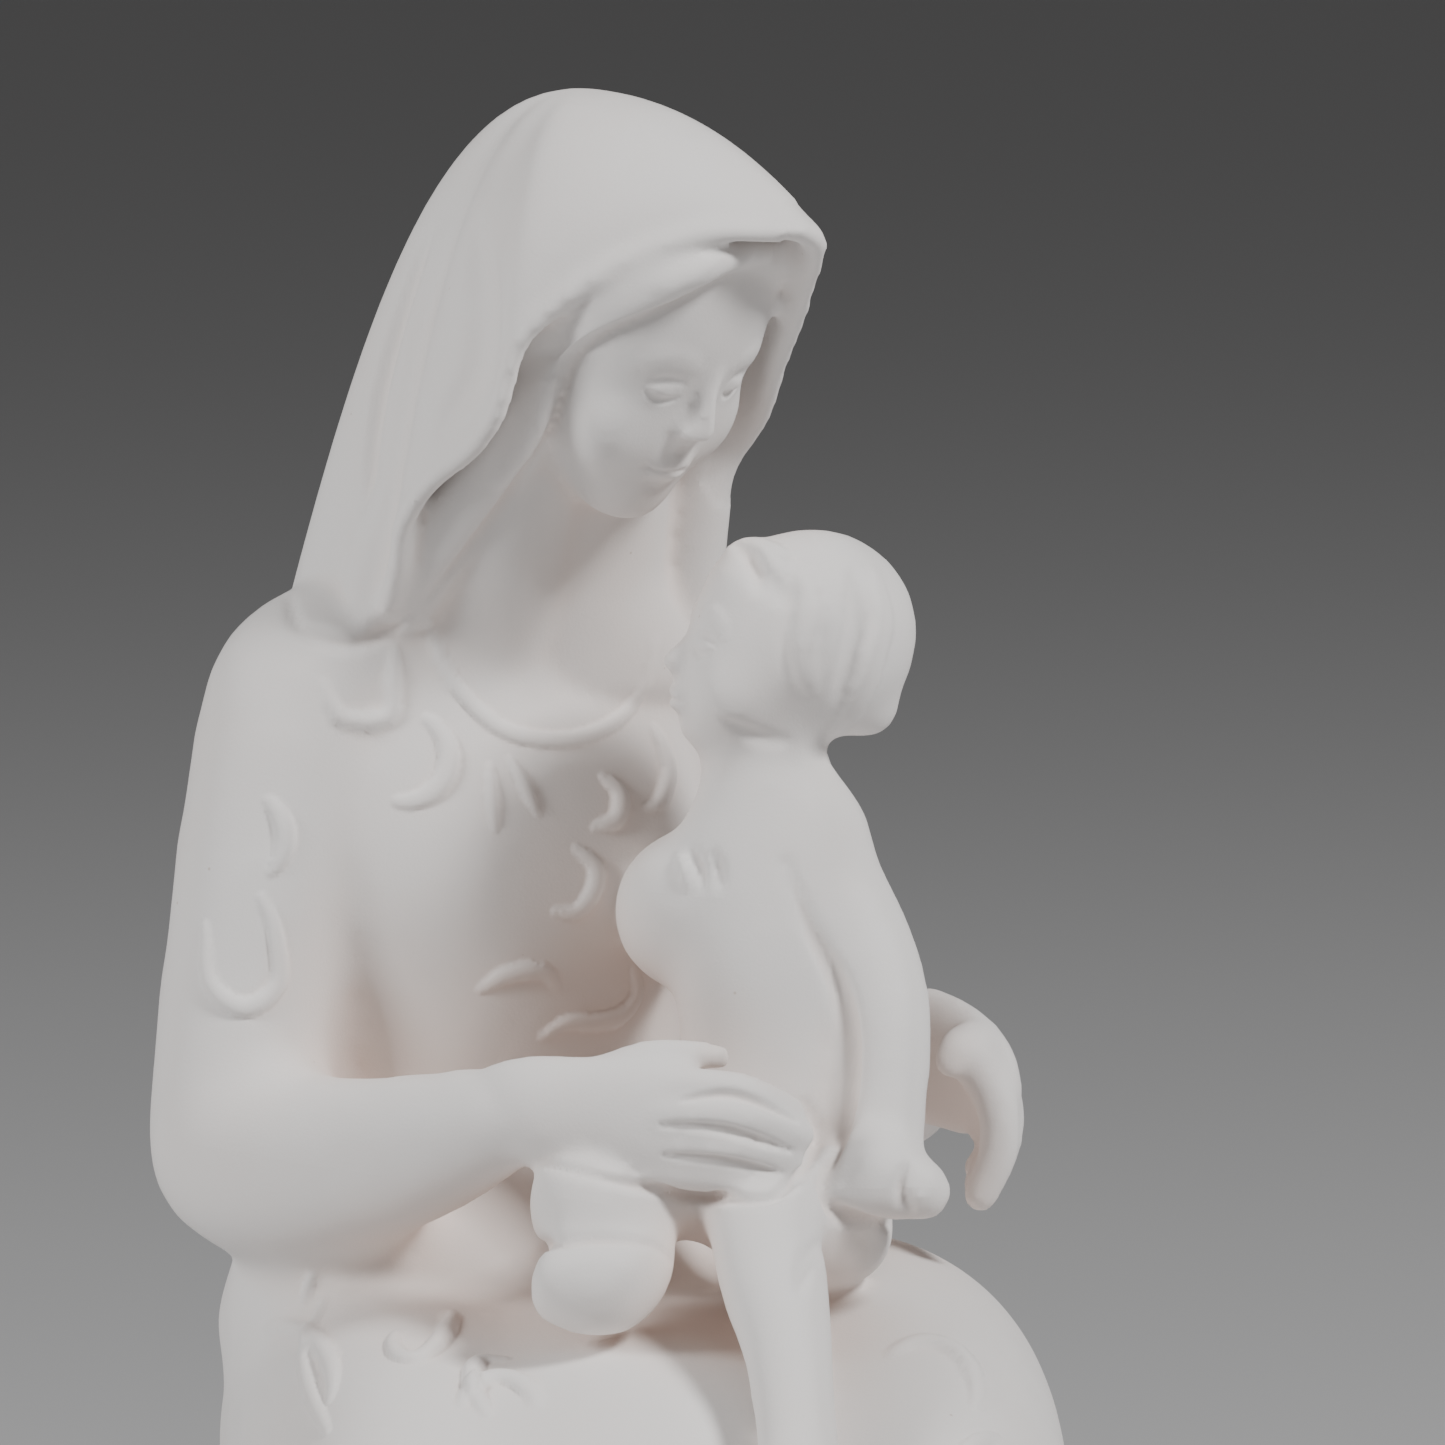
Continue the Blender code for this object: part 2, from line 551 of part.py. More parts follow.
def dress_relief():
    # Curls and leaves of the dress as (run, width, height), seen from the front
    bows = (
        (-31.4, 224.4, 3.6, 195, 345), (-27, 228, 4.2, 250, 320), (-24.6, 218.4, 6, -95, 8),
        (-3.6, 211.4, 4.1, -75, 70), (-8.2, 202, 5.8, -75, 55), (-11.6, 184, 7.2, 35, 140),
        (4.4, 217.5, 4, -70, 60), (-47, 207.5, 6, -45, 50), (-49, 192, 8.2, -55, 60),
        (-27, 143.5, 5, 190, 340), (-42, 139, 7, -20, 100), (-14, 134.5, 5, 20, 160),
        (44.5, 137.5, 5.5, -10, 150), (48.5, 128, 4, 90, 250),
    )
    relief = [(bow(*row), 1.6, 1.05) for row in bows]
    leaves = (((-16.2, 217.6), (-15.6, 213), (-14.9, 208.8)), ((-12.9, 216.4), (-12, 213), (-10.2, 210.2)))
    relief += [(wave(leaf), 0.8, 0.7) for leaf in leaves]
    swirl = ((1.7, 191), (2.5, 189), (0.8, 185.8), (-3.4, 185), (-6.5, 184), (-9.2, 182))
    relief.append((wave(swirl), 1.1, 0.9))
    return relief


def skirt_relief():
    # The same curls by rule, row above row round the sides, the back and below the knees
    relief = []
    for row, z in enumerate((38, 68, 98)):
        for step in range(8):
            azimuth = 45 * step + 22 * (row % 2) - 60
            start = 90 * ((step + row) % 4)
            relief.append((side_sight(azimuth), bow(0, z, 7, start, start + 130), 1.6, 1.0))
    for row, z in enumerate((168, 190)):
        for step in range(2):
            start = 120 * (step + row)
            sight = side_sight(160 + 30 * step)
            relief.append((sight, bow(10 * row - 5, z, 6, start, start + 130), 1.5, 0.9))
    return relief


def add_carving(mesh):
    tree = BVHTree.FromPolygons(
        [vertex.co for vertex in mesh.vertices], [face.vertices for face in mesh.polygons])
    points = points_of(mesh)
    slopes = np.empty(points.size)
    mesh.vertices.foreach_get("normal", slopes)
    slopes = slopes.reshape(-1, 3)
    strokes = [(front_sight, run, width, height) for run, width, height in dress_relief()]
    strokes += skirt_relief()
    neckline = ((-23.5, 235.5), (-20, 227.5), (-13.8, 221.3), (-6.3, 219.8), (0, 221.7), (3.8, 226), (5.6, 232))
    strokes.append((front_sight, wave(neckline), 0.9, 0.6))
    # Soft folds of the veil: a valley along the near edge and pleats down to the shoulder
    veil_folds = (
        (((-16.8, 284), (-16, 275), (-17, 266), (-21, 259)), 3.4, -1.6),
        (((-22.8, 284), (-26.3, 273.8), (-29.3, 262.3), (-30.8, 249)), 1.3, -0.9),
        (((-28, 252), (-31, 244), (-32.5, 237)), 3, 0.9),
    )
    strokes += [(front_sight, wave(run), width, height) for run, width, height in veil_folds]
    finger_gaps = (((9, 174.4), (14.3, 175.1), (18.8, 174), (23.3, 171.8)),
                   ((6.3, 171.3), (14.3, 170.7), (22.8, 168)), ((6.8, 167.5), (14.3, 166.7), (21.3, 165.3)))
    strokes += [(front_sight, wave(run), 0.9, -1.0) for run in finger_gaps]
    # Skirt folds that fall from the knees, a ridge and a groove by turns
    for i in range(9):
        x = -44 + 11 * i
        height = 1.7 if i % 2 else -1.9
        run = wave(((x * 0.82, 112), (x * 0.92, 78), (x, 44), (x * 1.06, 16)))
        strokes.append((side_sight(4), run, 4.2, height))
    for azimuth in range(75, 320, 35):
        run = wave(((0, 100), (2, 70), (1, 44), (-1, 16)))
        strokes.append((side_sight(azimuth), run, 4.5, -1.6))
    for sight, run, width, height in strokes:
        line = laid(tree, sight, run)
        if len(line) > 2:
            carve(points, slopes, line, width, height)
    set_points(mesh, points)


def thinned(mesh):
    # Fewer and larger facets where the form is plain, and a flat underside
    thing = bpy.data.objects.new("study", mesh)
    bpy.context.scene.collection.objects.link(thing)
    thin = thing.modifiers.new("thin", "DECIMATE")
    mesh.calc_loop_triangles()
    thin.ratio = FACETS / len(mesh.loop_triangles)
    form = bmesh.new()
    form.from_mesh(baked(thing))
    everything = form.verts[:] + form.edges[:] + form.faces[:]
    bmesh.ops.bisect_plane(
        form, geom=everything, dist=1e-6, plane_co=(0, 0, 0), plane_no=(0, 0, 1), clear_inner=True)
    rim = [edge for edge in form.edges if edge.is_boundary]
    bmesh.ops.edgeloop_fill(form, edges=rim)
    bmesh.ops.triangulate(form, faces=form.faces[:])
    bmesh.ops.recalc_face_normals(form, faces=form.faces[:])
    form.to_mesh(mesh)
    form.free()
    return mesh


def main():
    for thing in list(bpy.data.objects):
        bpy.data.objects.remove(thing)
    body = bmesh.new()
    add_torso(body)
    add_arms(body)
    add_lap(body)
    add_palms(body)
    body = fused(body, BODY_GRAIN)
    relax(body, BODY_SOFTENING)

    flesh = bmesh.new()
    add_mother_head(flesh)
    add_child_head(flesh)
    add_child(flesh)
    flesh = fused(flesh, FLESH_GRAIN)
    relax(flesh, FLESH_SOFTENING)

    whole = bmesh.new()
    add_mother_features(whole)
    add_child_features(whole)
    add_palms(whole)
    add_right_fingers(whole)
    add_left_fingers(whole)
    add_lining(whole)
    add_veil(whole)
    add_base(whole)
    whole.from_mesh(body)
    whole.from_mesh(flesh)
    skin = fused(whole, FINE_GRAIN)
    relax(skin, 2)
    relax(skin, SKIN_SOFTENING, SKIN_HOLD)
    add_carving(skin)
    relax(skin, 2, 1.0)
    skin = thinned(skin)

    bisque = bpy.data.materials.new("bisque")
    bisque.use_nodes = True
    shader = bisque.node_tree.nodes["Principled BSDF"]
    shader.inputs["Base Color"].default_value = BISQUE
    shader.inputs["Roughness"].default_value = BISQUE_ROUGHNESS
    shader.inputs["Metallic"].default_value = 0.0

    figure = bpy.data.objects.new(NAME, skin)
    figure.data.materials.append(bisque)
    group = bpy.data.collections.new(NAME)
    bpy.context.scene.collection.children.link(group)
    group.objects.link(figure)


main()
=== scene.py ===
import bmesh
import bpy
import numpy as np
from math import copysign, cos, pi, radians, sin
from mathutils import Matrix, Vector
from mathutils.bvhtree import BVHTree
from mathutils.kdtree import KDTree


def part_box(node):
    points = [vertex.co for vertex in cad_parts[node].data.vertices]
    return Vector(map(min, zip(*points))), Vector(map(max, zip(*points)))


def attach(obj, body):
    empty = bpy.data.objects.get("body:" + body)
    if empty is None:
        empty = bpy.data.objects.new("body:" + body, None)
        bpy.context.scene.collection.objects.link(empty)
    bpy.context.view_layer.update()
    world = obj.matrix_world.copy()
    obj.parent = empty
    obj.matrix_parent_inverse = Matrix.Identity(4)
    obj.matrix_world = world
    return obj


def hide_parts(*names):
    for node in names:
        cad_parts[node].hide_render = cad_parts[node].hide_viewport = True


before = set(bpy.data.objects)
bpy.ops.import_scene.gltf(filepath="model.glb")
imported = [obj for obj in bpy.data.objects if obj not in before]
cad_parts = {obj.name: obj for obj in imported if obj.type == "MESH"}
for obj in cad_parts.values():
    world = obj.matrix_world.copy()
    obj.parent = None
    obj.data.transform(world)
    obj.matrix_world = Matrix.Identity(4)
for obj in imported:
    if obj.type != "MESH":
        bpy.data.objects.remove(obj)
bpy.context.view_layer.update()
lowCorner, highCorner = (Vector(corner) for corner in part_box("virgin_and_child"))

# The figure is laid out in millimetres, as it is seen on an upright board
board = {
    "middle": (14.06, 222.0),       # where the view's middle meets the board
    "eyeDistance": 1011.0,
    "eyeTilt": 8,                   # degrees that the eye looks down
    "ground": (7.0, -32.0, 12.0),   # the middle of the base's top
    "figureHeight": 290.0,
}
base = {
    "height": 0.012,
    "edge": 0.004,                  # how round the upper edge is
    "sides": 200,
}
unit = (highCorner.z - base["height"]) / board["figureHeight"]
placing = Matrix.Translation((0, 0, base["height"])) @ Matrix.Scale(unit, 4)
placing = placing @ Matrix.Translation([-value for value in board["ground"]])


def eyePoint():
    tilt = radians(board["eyeTilt"])
    x, z = board["middle"]
    return Vector((x, 0, z)) + Vector((0, -cos(tilt), sin(tilt))) * board["eyeDistance"]


def boardPoint(x, z):
    tilt = radians(board["eyeTilt"])
    middleX, middleZ = board["middle"]
    return Vector((x, 0, middleZ)) + Vector((0, sin(tilt), cos(tilt))) * (z - middleZ)


def seenAt(x, y, z):
    # the point at depth y that the eye sees at (x, z) on the board
    start = eyePoint()
    sight = boardPoint(x, z) - start
    return start + sight * ((y - start.y) / sight.y)


def drawn(rows):
    return [(*seenAt(*row[:3]), *row[3:]) for row in rows]


def smoothRun(rows, steps):
    rows = np.array(rows, float)
    run = np.vstack([2 * rows[0] - rows[1], rows, 2 * rows[-1] - rows[-2]])
    found = []
    for before, a, b, after in zip(run, run[1:], run[2:], run[3:]):
        for t in np.arange(steps) / steps:
            bend = 2 * before - 5 * a + 4 * b - after
            twist = 3 * a - before - 3 * b + after
            found.append(a + 0.5 * t * (b - before + t * (bend + t * twist)))
    found.append(rows[-1])
    return np.array(found)


def limb(form, rows, side=(1, 0, 0), pose=Matrix(), dome=0.8, square=1.0, sides=44, steps=9):
    # a closed tube through rows of x, y, z, half width along the side and half depth
    rows = smoothRun([row if len(row) == 5 else (*row, row[3]) for row in rows], steps)
    path = rows[:, :3]
    along = np.gradient(path, axis=0)
    along /= np.linalg.norm(along, axis=1)[:, None]
    rings = [(path[i], along[i], rows[i, 3], rows[i, 4]) for i in range(len(rows))]
    for turn in (12, 25, 38, 51, 64, 76, 86):
        for i, way in ((0, -1), (len(rows) - 1, 1)):
            reach = way * dome * min(rows[i, 3:]) * sin(radians(turn))
            shrink = cos(radians(turn))
            ring = (path[i] + along[i] * reach, along[i], rows[i, 3] * shrink, rows[i, 4] * shrink)
            rings.insert(0 if way < 0 else len(rings), ring)
    setting = placing @ pose
    last = None
    width = Vector(side)
    for middle, forward, wide, deep in rings:
        forward = Vector(forward)
        width = (width - forward * width.dot(forward)).normalized()
        depth = forward.cross(width)
        ring = []
        for i in range(sides):
            angle = 2 * pi * i / sides
            across = copysign(abs(cos(angle)) ** square, cos(angle)) * wide
            back = copysign(abs(sin(angle)) ** square, sin(angle)) * deep
            ring.append(form.verts.new(setting @ (Vector(middle) + width * across + depth * back)))
        if last:
            for i in range(sides):
                j = (i + 1) % sides
                form.faces.new((last[i], last[j], ring[j], ring[i]))
        else:
            form.faces.new(ring[::-1])
        last = ring
    form.faces.new(last)


def swell(form, middle, radii, pose=Matrix()):
    # a rounded lump of clay with the given half lengths
    matrix = placing @ pose @ Matrix.Translation(middle) @ Matrix.Diagonal((*radii, 1))
    bmesh.ops.create_uvsphere(form, u_segments=44, v_segments=30, radius=1, matrix=matrix)


def swellPair(form, middle, radii, pose):
    for way in (-1, 1):
        swell(form, (way * middle[0], middle[1], middle[2]), radii, pose)


# Her body under the dress
dress = {
    "shoulderSide": (0.951, 0.309, 0.0),    # the way her shoulders run
    "lapSide": (0.97, 0.24, 0.0),
    "torso": [
        (-8, 10, 112, 42, 30), (-10, 10, 137, 38, 29), (-11.5, 11, 155, 31, 24),
        (-13, 11, 172, 23.5, 18), (-13.5, 10, 190, 24.5, 19), (-14, 9, 206, 28.5, 19),
        (-14.5, 9, 219, 30, 16), (-15, 9, 229, 26, 12.5), (-15, 9, 236, 15, 10)],
    "bust": [((-21.7, -4.6, 202), (12, 7, 14)), ((1.1, 2.3, 202), (12, 7, 14))],
    "neck": [(-13, 10, 229, 14, 10), (-14, 2, 239, 11, 10), (-13.5, -4, 249, 10, 9.8),
             (-10, -9, 262, 10, 9.5)],
    "shoulders": [
        [(-13, 8, 238, 8), (-24, 5, 234, 9), (-35, 1, 231, 10), (-41.3, -1, 226.5, 10.4)],
        [(-13, 8, 238, 8), (-4, 11, 234, 9), (5, 15, 229.5, 9.5), (12, 18, 225.5, 9.5)]],
    "rightSleeve": [
        (-40.9, -1, 225, 11), (-43.4, -3, 208, 11.3), (-45.8, -5, 190, 11.1), (-46.9, -7, 176, 11.4),
        (-46.7, -10, 167.3, 11.6), (-38, -19, 166, 11.6), (-28, -29, 167.5, 10.3),
        (-20, -37, 169.8, 8.8), (-12, -44, 172.8, 6.8)],
    "leftSleeve": [
        (14, 19, 226, 10.5), (24, 26, 200, 10), (30, 30, 179, 9.5), (35, 22, 176, 9),
        (37.8, 8, 178.5, 9.5, 7.5), (40, -4, 180, 9, 6)],
    "thighs": [
        [(-28, 8, 128, 25, 23), (-25.5, -20, 132, 22.5, 22), (-21, -48, 132, 21, 20),
         (-20, -73, 123, 19.5)],
        [(18, 16, 130, 24, 23), (31.5, -12, 136, 22.5, 21.5), (36, -40, 135, 21, 20.5),
         (36.5, -70, 124, 20)]],
    "lap": [((5, -38, 132), (38, 47, 23.5)), ((-18.5, 0, 145), (32, 28, 24))],
    "shins": [
        [(-20, -73, 121, 19, 18.5), (-20, -76, 90, 18.5, 18), (-20, -78, 50, 19, 18), (-19, -79, 16, 22, 20)],
        [(37.5, -70, 122, 19.5, 19), (37, -72, 90, 18.5), (36, -74, 50, 18.5, 18), (35, -75, 16, 21, 20)],
        [(8, -66, 118, 20, 18), (8, -70, 60, 20, 17), (8, -73, 14, 24, 21)]],
    "skirt": [
        (6, -28, 7, 57, 65), (6, -26, 25, 53, 63), (6, -24, 60, 50, 61), (5, -22, 95, 50, 61),
        (4, -21, 114, 49, 58), (0, -16, 130, 40, 44)],
    "shoes": [(-17, -97), (34, -93)],
}


def modelDress(form):
    side = dress["shoulderSide"]
    limb(form, drawn(dress["torso"]), side)
    limb(form, drawn(dress["neck"]), side)
    for middle, radii in dress["bust"]:
        swell(form, seenAt(*middle), radii)
    for shoulder in dress["shoulders"]:
        limb(form, drawn(shoulder))
    limb(form, drawn(dress["rightSleeve"]), (0, 1, 0))
    limb(form, drawn(dress["leftSleeve"]), (1, 0, 0.5))
    for thigh in dress["thighs"]:
        limb(form, thigh, (0, 0, 1))
    for middle, radii in dress["lap"]:
        swell(form, middle, radii)
    for shin in dress["shins"]:
        limb(form, shin, dress["lapSide"])
    limb(form, dress["skirt"], dress["lapSide"], dome=0.2, square=0.75, sides=90)
    for x, y in dress["shoes"]:
        limb(form, [(x, y + 14, 18, 8, 6), (x, y, 17, 7.5, 5.5), (x + 1, y - 6, 16, 6, 4.5)])


# Her right hand lies on the child's hip, her left is held open behind the back
hands = {
    "rightPalm": [(-18, -38.5, 171.5, 5.4, 4.6), (-11, -45, 173, 6.6, 4.8), (-3, -48, 172.7, 7, 4),
                  (4, -50, 171.8, 7.8, 3.8), (9.5, -51.2, 171, 7.6, 3.2)],
    "rightFingers": [
        [(6, -50.5, 175.9, 2.5), (12, -51.8, 176, 2.4), (17.5, -51.5, 175.2, 2.3), (23, -49.5, 172.9, 1.9)],
        [(6, -51.5, 172.6, 2.7), (12, -53, 172.6, 2.6), (18, -52.8, 172, 2.4), (24, -50.8, 169.9, 2.0)],
        [(6, -51.5, 169.2, 2.6), (12, -52.8, 168.8, 2.5), (17.5, -52.8, 168.3, 2.3), (22.8, -51, 166.9, 1.9)],
        [(5, -51, 165.9, 2.4), (11, -52, 165.3, 2.3), (16, -52, 164.8, 2.1), (20.6, -50.8, 164, 1.7)],
        [(-1, -46.5, 177.5, 2.6), (5, -47.5, 179.7, 2.3), (10, -47.5, 180.1, 1.9), (14, -46.8, 179.8, 1.5)]],
    "leftPalm": [(39.5, -3, 180.2, 8.8, 5), (43.8, -10, 178.6, 8.4, 4.2), (47, -15, 176.3, 7.6, 3.4),
                 (48.4, -18, 173, 6, 3)],
    "leftFingers": [
        [(46.6, -13, 179.5, 3), (49.3, -14.5, 174, 2.7), (49.2, -15, 169.5, 2.5), (46.4, -15.5, 165.6, 2.2)],
        [(46.4, -16, 179.5, 3), (49, -18, 174, 2.7), (49.1, -19, 168.5, 2.5), (46.3, -19.5, 163.5, 2.2)],
        [(46, -18.5, 179, 3), (48.6, -21.5, 174, 2.7), (48.8, -22.5, 168, 2.5), (46.4, -22.5, 162.2, 2.2)]],
    "leftThumb": [(46.5, -14, 182.2, 2.8), (43.8, -19, 181.3, 2.3), (42.4, -20.5, 179.3, 1.8),
                  (43.1, -20.5, 178.2, 1.3)],
    "gaps": [((9, 174.4), (14.3, 175.1), (18.8, 174), (23.3, 171.8)),
             ((6.3, 171.3), (14.3, 170.7), (22.8, 168)), ((6.8, 167.5), (14.3, 166.7), (21.3, 165.3))],
    "gapWidth": 0.7, "gapDepth": 0.9,
    "edgeWidth": 0.9, "edgeDepth": 1.1,
    "edge": ((-8.5, 166.5), (-3.2, 165.2), (1.6, 164), (7.2, 163), (12.9, 162.3), (17.8, 162), (20.8, 162.4),
             (22.9, 164), (24.7, 166.2), (25.8, 169), (25.8, 171.8), (24.4, 174.2)),
}


def modelPalms(form):
    for name in ("rightPalm", "leftPalm"):
        limb(form, drawn(hands[name]), (0, 0, 1), dome=0.6)


def modelFingers(form):
    for finger in hands["rightFingers"]:
        limb(form, drawn(finger), sides=24)
    for finger in hands["leftFingers"]:
        limb(form, drawn(finger), (0, 1, 0), sides=24)
    limb(form, drawn(hands["leftThumb"]), sides=24)


# Heads are laid out in shares of their height, about their middle and looking towards -Y
motherHead = {
    "middle": (2.0, -12.5, 273.5), "height": 46.0, "turn": 43, "nod": 27,
    "skull": ((0, 0.06, 0.13), (0.335, 0.41, 0.34)),
    # height, half width, front and half depth of the face
    "face": [
        (0.38, 0.245, -0.30, 0.22), (0.28, 0.275, -0.355, 0.24), (0.16, 0.29, -0.38, 0.25),
        (0.09, 0.292, -0.375, 0.25), (0.01, 0.288, -0.352, 0.24), (-0.09, 0.282, -0.355, 0.24),
        (-0.18, 0.265, -0.355, 0.23), (-0.26, 0.235, -0.347, 0.215), (-0.33, 0.195, -0.338, 0.19),
        (-0.40, 0.145, -0.33, 0.155), (-0.45, 0.10, -0.305, 0.12)],
    "cheeks": ((0.155, -0.215, -0.155), (0.125, 0.105, 0.165)),
    "jaw": ((0.19, -0.05, -0.17), (0.09, 0.15, 0.15)),
    "nose": [(0, -0.350, 0.1, 0.026, 0.024), (0, -0.368, 0.0, 0.029, 0.03), (0, -0.386, -0.08, 0.035, 0.036),
             (0, -0.392, -0.11, 0.038, 0.034)],
    "nostrils": ((0.034, -0.364, -0.118), (0.027, 0.034, 0.024)),
    "lips": [((0, -0.337, -0.232), (0.068, 0.027, 0.019)), ((0, -0.333, -0.266), (0.057, 0.029, 0.021))],
    "lids": ((0.12, -0.298, 0.0), (0.056, 0.05, 0.036)),
    "hair": [(0, -0.30, 0.41, 0.05), (0.15, -0.29, 0.37, 0.055), (0.265, -0.19, 0.26, 0.055),
             (0.31, -0.06, 0.08, 0.055), (0.30, 0.06, -0.15, 0.065), (0.22, 0.14, -0.4, 0.09)],
    # strokes in shares of the head, mirrored for both sides: run, width and height in millimetres
    "sideStrokes": [
        (((0.084, 0.024), (0.10, 0.036), (0.13, 0.038), (0.158, 0.026), (0.176, 0.008)), 0.8, -0.3),
        (((0.084, -0.018), (0.098, -0.026), (0.122, -0.031), (0.15, -0.025), (0.176, -0.008)), 0.65, -0.5),
        (((0.07, 0.08), (0.11, 0.096), (0.16, 0.092), (0.21, 0.06)), 2.0, 0.3),
        (((0.075, -0.242), (0.084, -0.25), (0.08, -0.26)), 1.0, -0.25)],
    "middleStrokes": [
        (((-0.072, -0.25), (-0.045, -0.252), (-0.012, -0.248), (0, -0.252), (0.012, -0.248),
          (0.045, -0.252), (0.072, -0.25)), 0.55, -0.5),
        (((0, -0.165), (0, -0.185), (0, -0.207)), 1.0, -0.25),
        (((-0.045, -0.303), (0, -0.313), (0.045, -0.303)), 1.8, -0.5)],
}


def headPose(head):
    swing = Matrix.Rotation(radians(head["turn"]), 4, "Z") @ Matrix.Rotation(radians(head["nod"]), 4, "X")
    return Matrix.Translation(head["middle"]) @ swing @ Matrix.Scale(head["height"], 4)


def modelMotherHead(form):
    pose = headPose(motherHead)
    swell(form, *motherHead["skull"], pose)
    face = [(0, front + deep, z, wide, deep) for z, wide, front, deep in motherHead["face"]]
    limb(form, face, pose=pose, dome=0.4, sides=64)
    swellPair(form, *motherHead["cheeks"], pose)
    swellPair(form, *motherHead["jaw"], pose)


def modelMotherFeatures(form):
    pose = headPose(motherHead)
    limb(form, motherHead["nose"], pose=pose, sides=30)
    swellPair(form, *motherHead["nostrils"], pose)
    for middle, radii in motherHead["lips"]:
        swell(form, middle, radii, pose)
    swellPair(form, *motherHead["lids"], pose)
    for way in (-1, 1):
        limb(form, [(way * x, y, z, thick) for x, y, z, thick in motherHead["hair"]], (0, 1, 0), pose)


childHead = {
    "middle": (22.7, -24.0, 233.2), "height": 30.2, "turn": -78, "nod": -14,
    "skull": ((0, 0.05, 0.125), (0.39, 0.44, 0.43)),
    "nape": ((0, 0.34, -0.13), (0.18, 0.15, 0.13)),
    "face": [(0, -0.13, 0.22, 0.33, 0.3), (0, -0.18, 0.0, 0.335, 0.275), (0, -0.21, -0.16, 0.3, 0.25),
             (0, -0.22, -0.28, 0.21, 0.2)],
    "cheeks": ((0.165, -0.25, -0.165), (0.165, 0.17, 0.165)),
    "chin": ((0, -0.32, -0.365), (0.11, 0.1, 0.08)),
    "nose": [(0, -0.42, 0.0, 0.035), (0, -0.46, -0.085, 0.05), (0, -0.475, -0.12, 0.058)],
    "lips": [((0, -0.438, -0.235), (0.085, 0.045, 0.03)), ((0, -0.425, -0.285), (0.07, 0.045, 0.032))],
    "lids": ((0.15, -0.365, -0.015), (0.075, 0.062, 0.05)),
    "forelock": ((0.02, -0.25, 0.37), (0.12, 0.14, 0.09)),
    "sideStrokes": [
        (((0.095, 0.015), (0.12, 0.032), (0.16, 0.036), (0.2, 0.02), (0.22, 0.0)), 0.7, -0.35),
        (((0.095, -0.033), (0.13, -0.048), (0.18, -0.048), (0.215, -0.025)), 0.6, -0.45),
        (((0.07, 0.075), (0.13, 0.1), (0.19, 0.09), (0.235, 0.055)), 1.6, 0.3)],
    "middleStrokes": [
        (((-0.075, -0.262), (-0.03, -0.266), (0, -0.26), (0.03, -0.266), (0.075, -0.262)), 0.55, -0.45),
        (((0, -0.18), (0, -0.215)), 0.7, -0.25),
        (((-0.04, -0.322), (0, -0.332), (0.04, -0.322)), 1.3, -0.4)],
}


def modelChildHead(form):
    pose = headPose(childHead)
    swell(form, *childHead["skull"], pose)
    swell(form, *childHead["nape"], pose)
    limb(form, childHead["face"], pose=pose, sides=64)
    swellPair(form, *childHead["cheeks"], pose)
    swell(form, *childHead["chin"], pose)


def modelChildFeatures(form):
    pose = headPose(childHead)
    limb(form, childHead["nose"], pose=pose, sides=30)
    for middle, radii in childHead["lips"]:
        swell(form, middle, radii, pose)
    swellPair(form, *childHead["lids"], pose)
    swell(form, *childHead["forelock"], pose)


child = {
    "torso": [(19.5, -24, 216, 8, 8), (20.5, -24.5, 207, 12.5, 9.5), (20.5, -26, 194, 12.5, 10.5),
              (21.3, -27, 181, 12.5, 10.5), (22, -28, 169, 13.5, 11.5), (22, -29, 160, 13, 11)],
    "neck": [(19.5, -24, 212, 8, 8), (18.8, -24, 218, 7.2, 7.2), (20.5, -24, 226, 9, 9)],
    "leftArm": [(24.2, -25, 207.5, 6.8), (28.6, -27, 199.8, 6.7), (31.5, -29, 195, 6.3),
                (34.1, -32, 189.5, 5.7), (35.3, -35, 183.6, 5.2), (35.4, -37.5, 176.9, 4.8),
                (34.9, -39.5, 170, 4.9)],
    "leftFist": [((33, -44, 164.8), (6.8, 5.5, 5.8)), ((39.4, -45, 163), (3.9, 4, 4.4))],
    "rightArm": [(19, -25, 204, 8), (12, -21.5, 198.8, 10.5), (9.5, -13, 198.3, 9.2), (8, -4, 198, 7)],
    "rightLeg": [(18, -33, 164, 8.5), (8, -41, 164.5, 7.5), (0, -46.5, 162, 8.5), (-2.8, -49, 160.5, 8.5)],
    "rightFoot": [(4, -51, 156, 4.5), (2.8, -54.5, 152.4, 6, 4.6), (-1, -57, 150.2, 6.6, 4.4),
                  (-7.4, -56.5, 151, 5.6, 4)],
    "leftLeg": [(24, -33, 159, 10), (20.3, -44, 160.5, 8.6), (19.4, -52, 158, 7), (20.6, -58, 151, 6.7),
                (22, -65, 145, 5.9), (22.9, -71, 138.5, 5.3), (23.4, -77, 132, 5.1)],
    "leftFoot": [(23.5, -77, 131, 5, 5), (23.9, -84, 127, 5.2, 4), (24.4, -91, 123.5, 4.6, 2.8)],
    "hip": ((28.2, -35, 158.5), (7.6, 10, 7.6)),
}


def modelChild(form):
    limb(form, drawn(child["torso"]), dome=0.5)
    limb(form, drawn(child["neck"]))
    limb(form, drawn(child["leftArm"]), (0, 1, 0))
    for middle, radii in child["leftFist"]:
        swell(form, seenAt(*middle), radii)
    for name in ("rightArm", "rightLeg", "rightFoot"):
        limb(form, drawn(child[name]), (0, 0, 1))
    for name in ("leftLeg", "leftFoot"):
        limb(form, drawn(child[name]))
    middle, radii = child["hip"]
    swell(form, seenAt(*middle), radii)


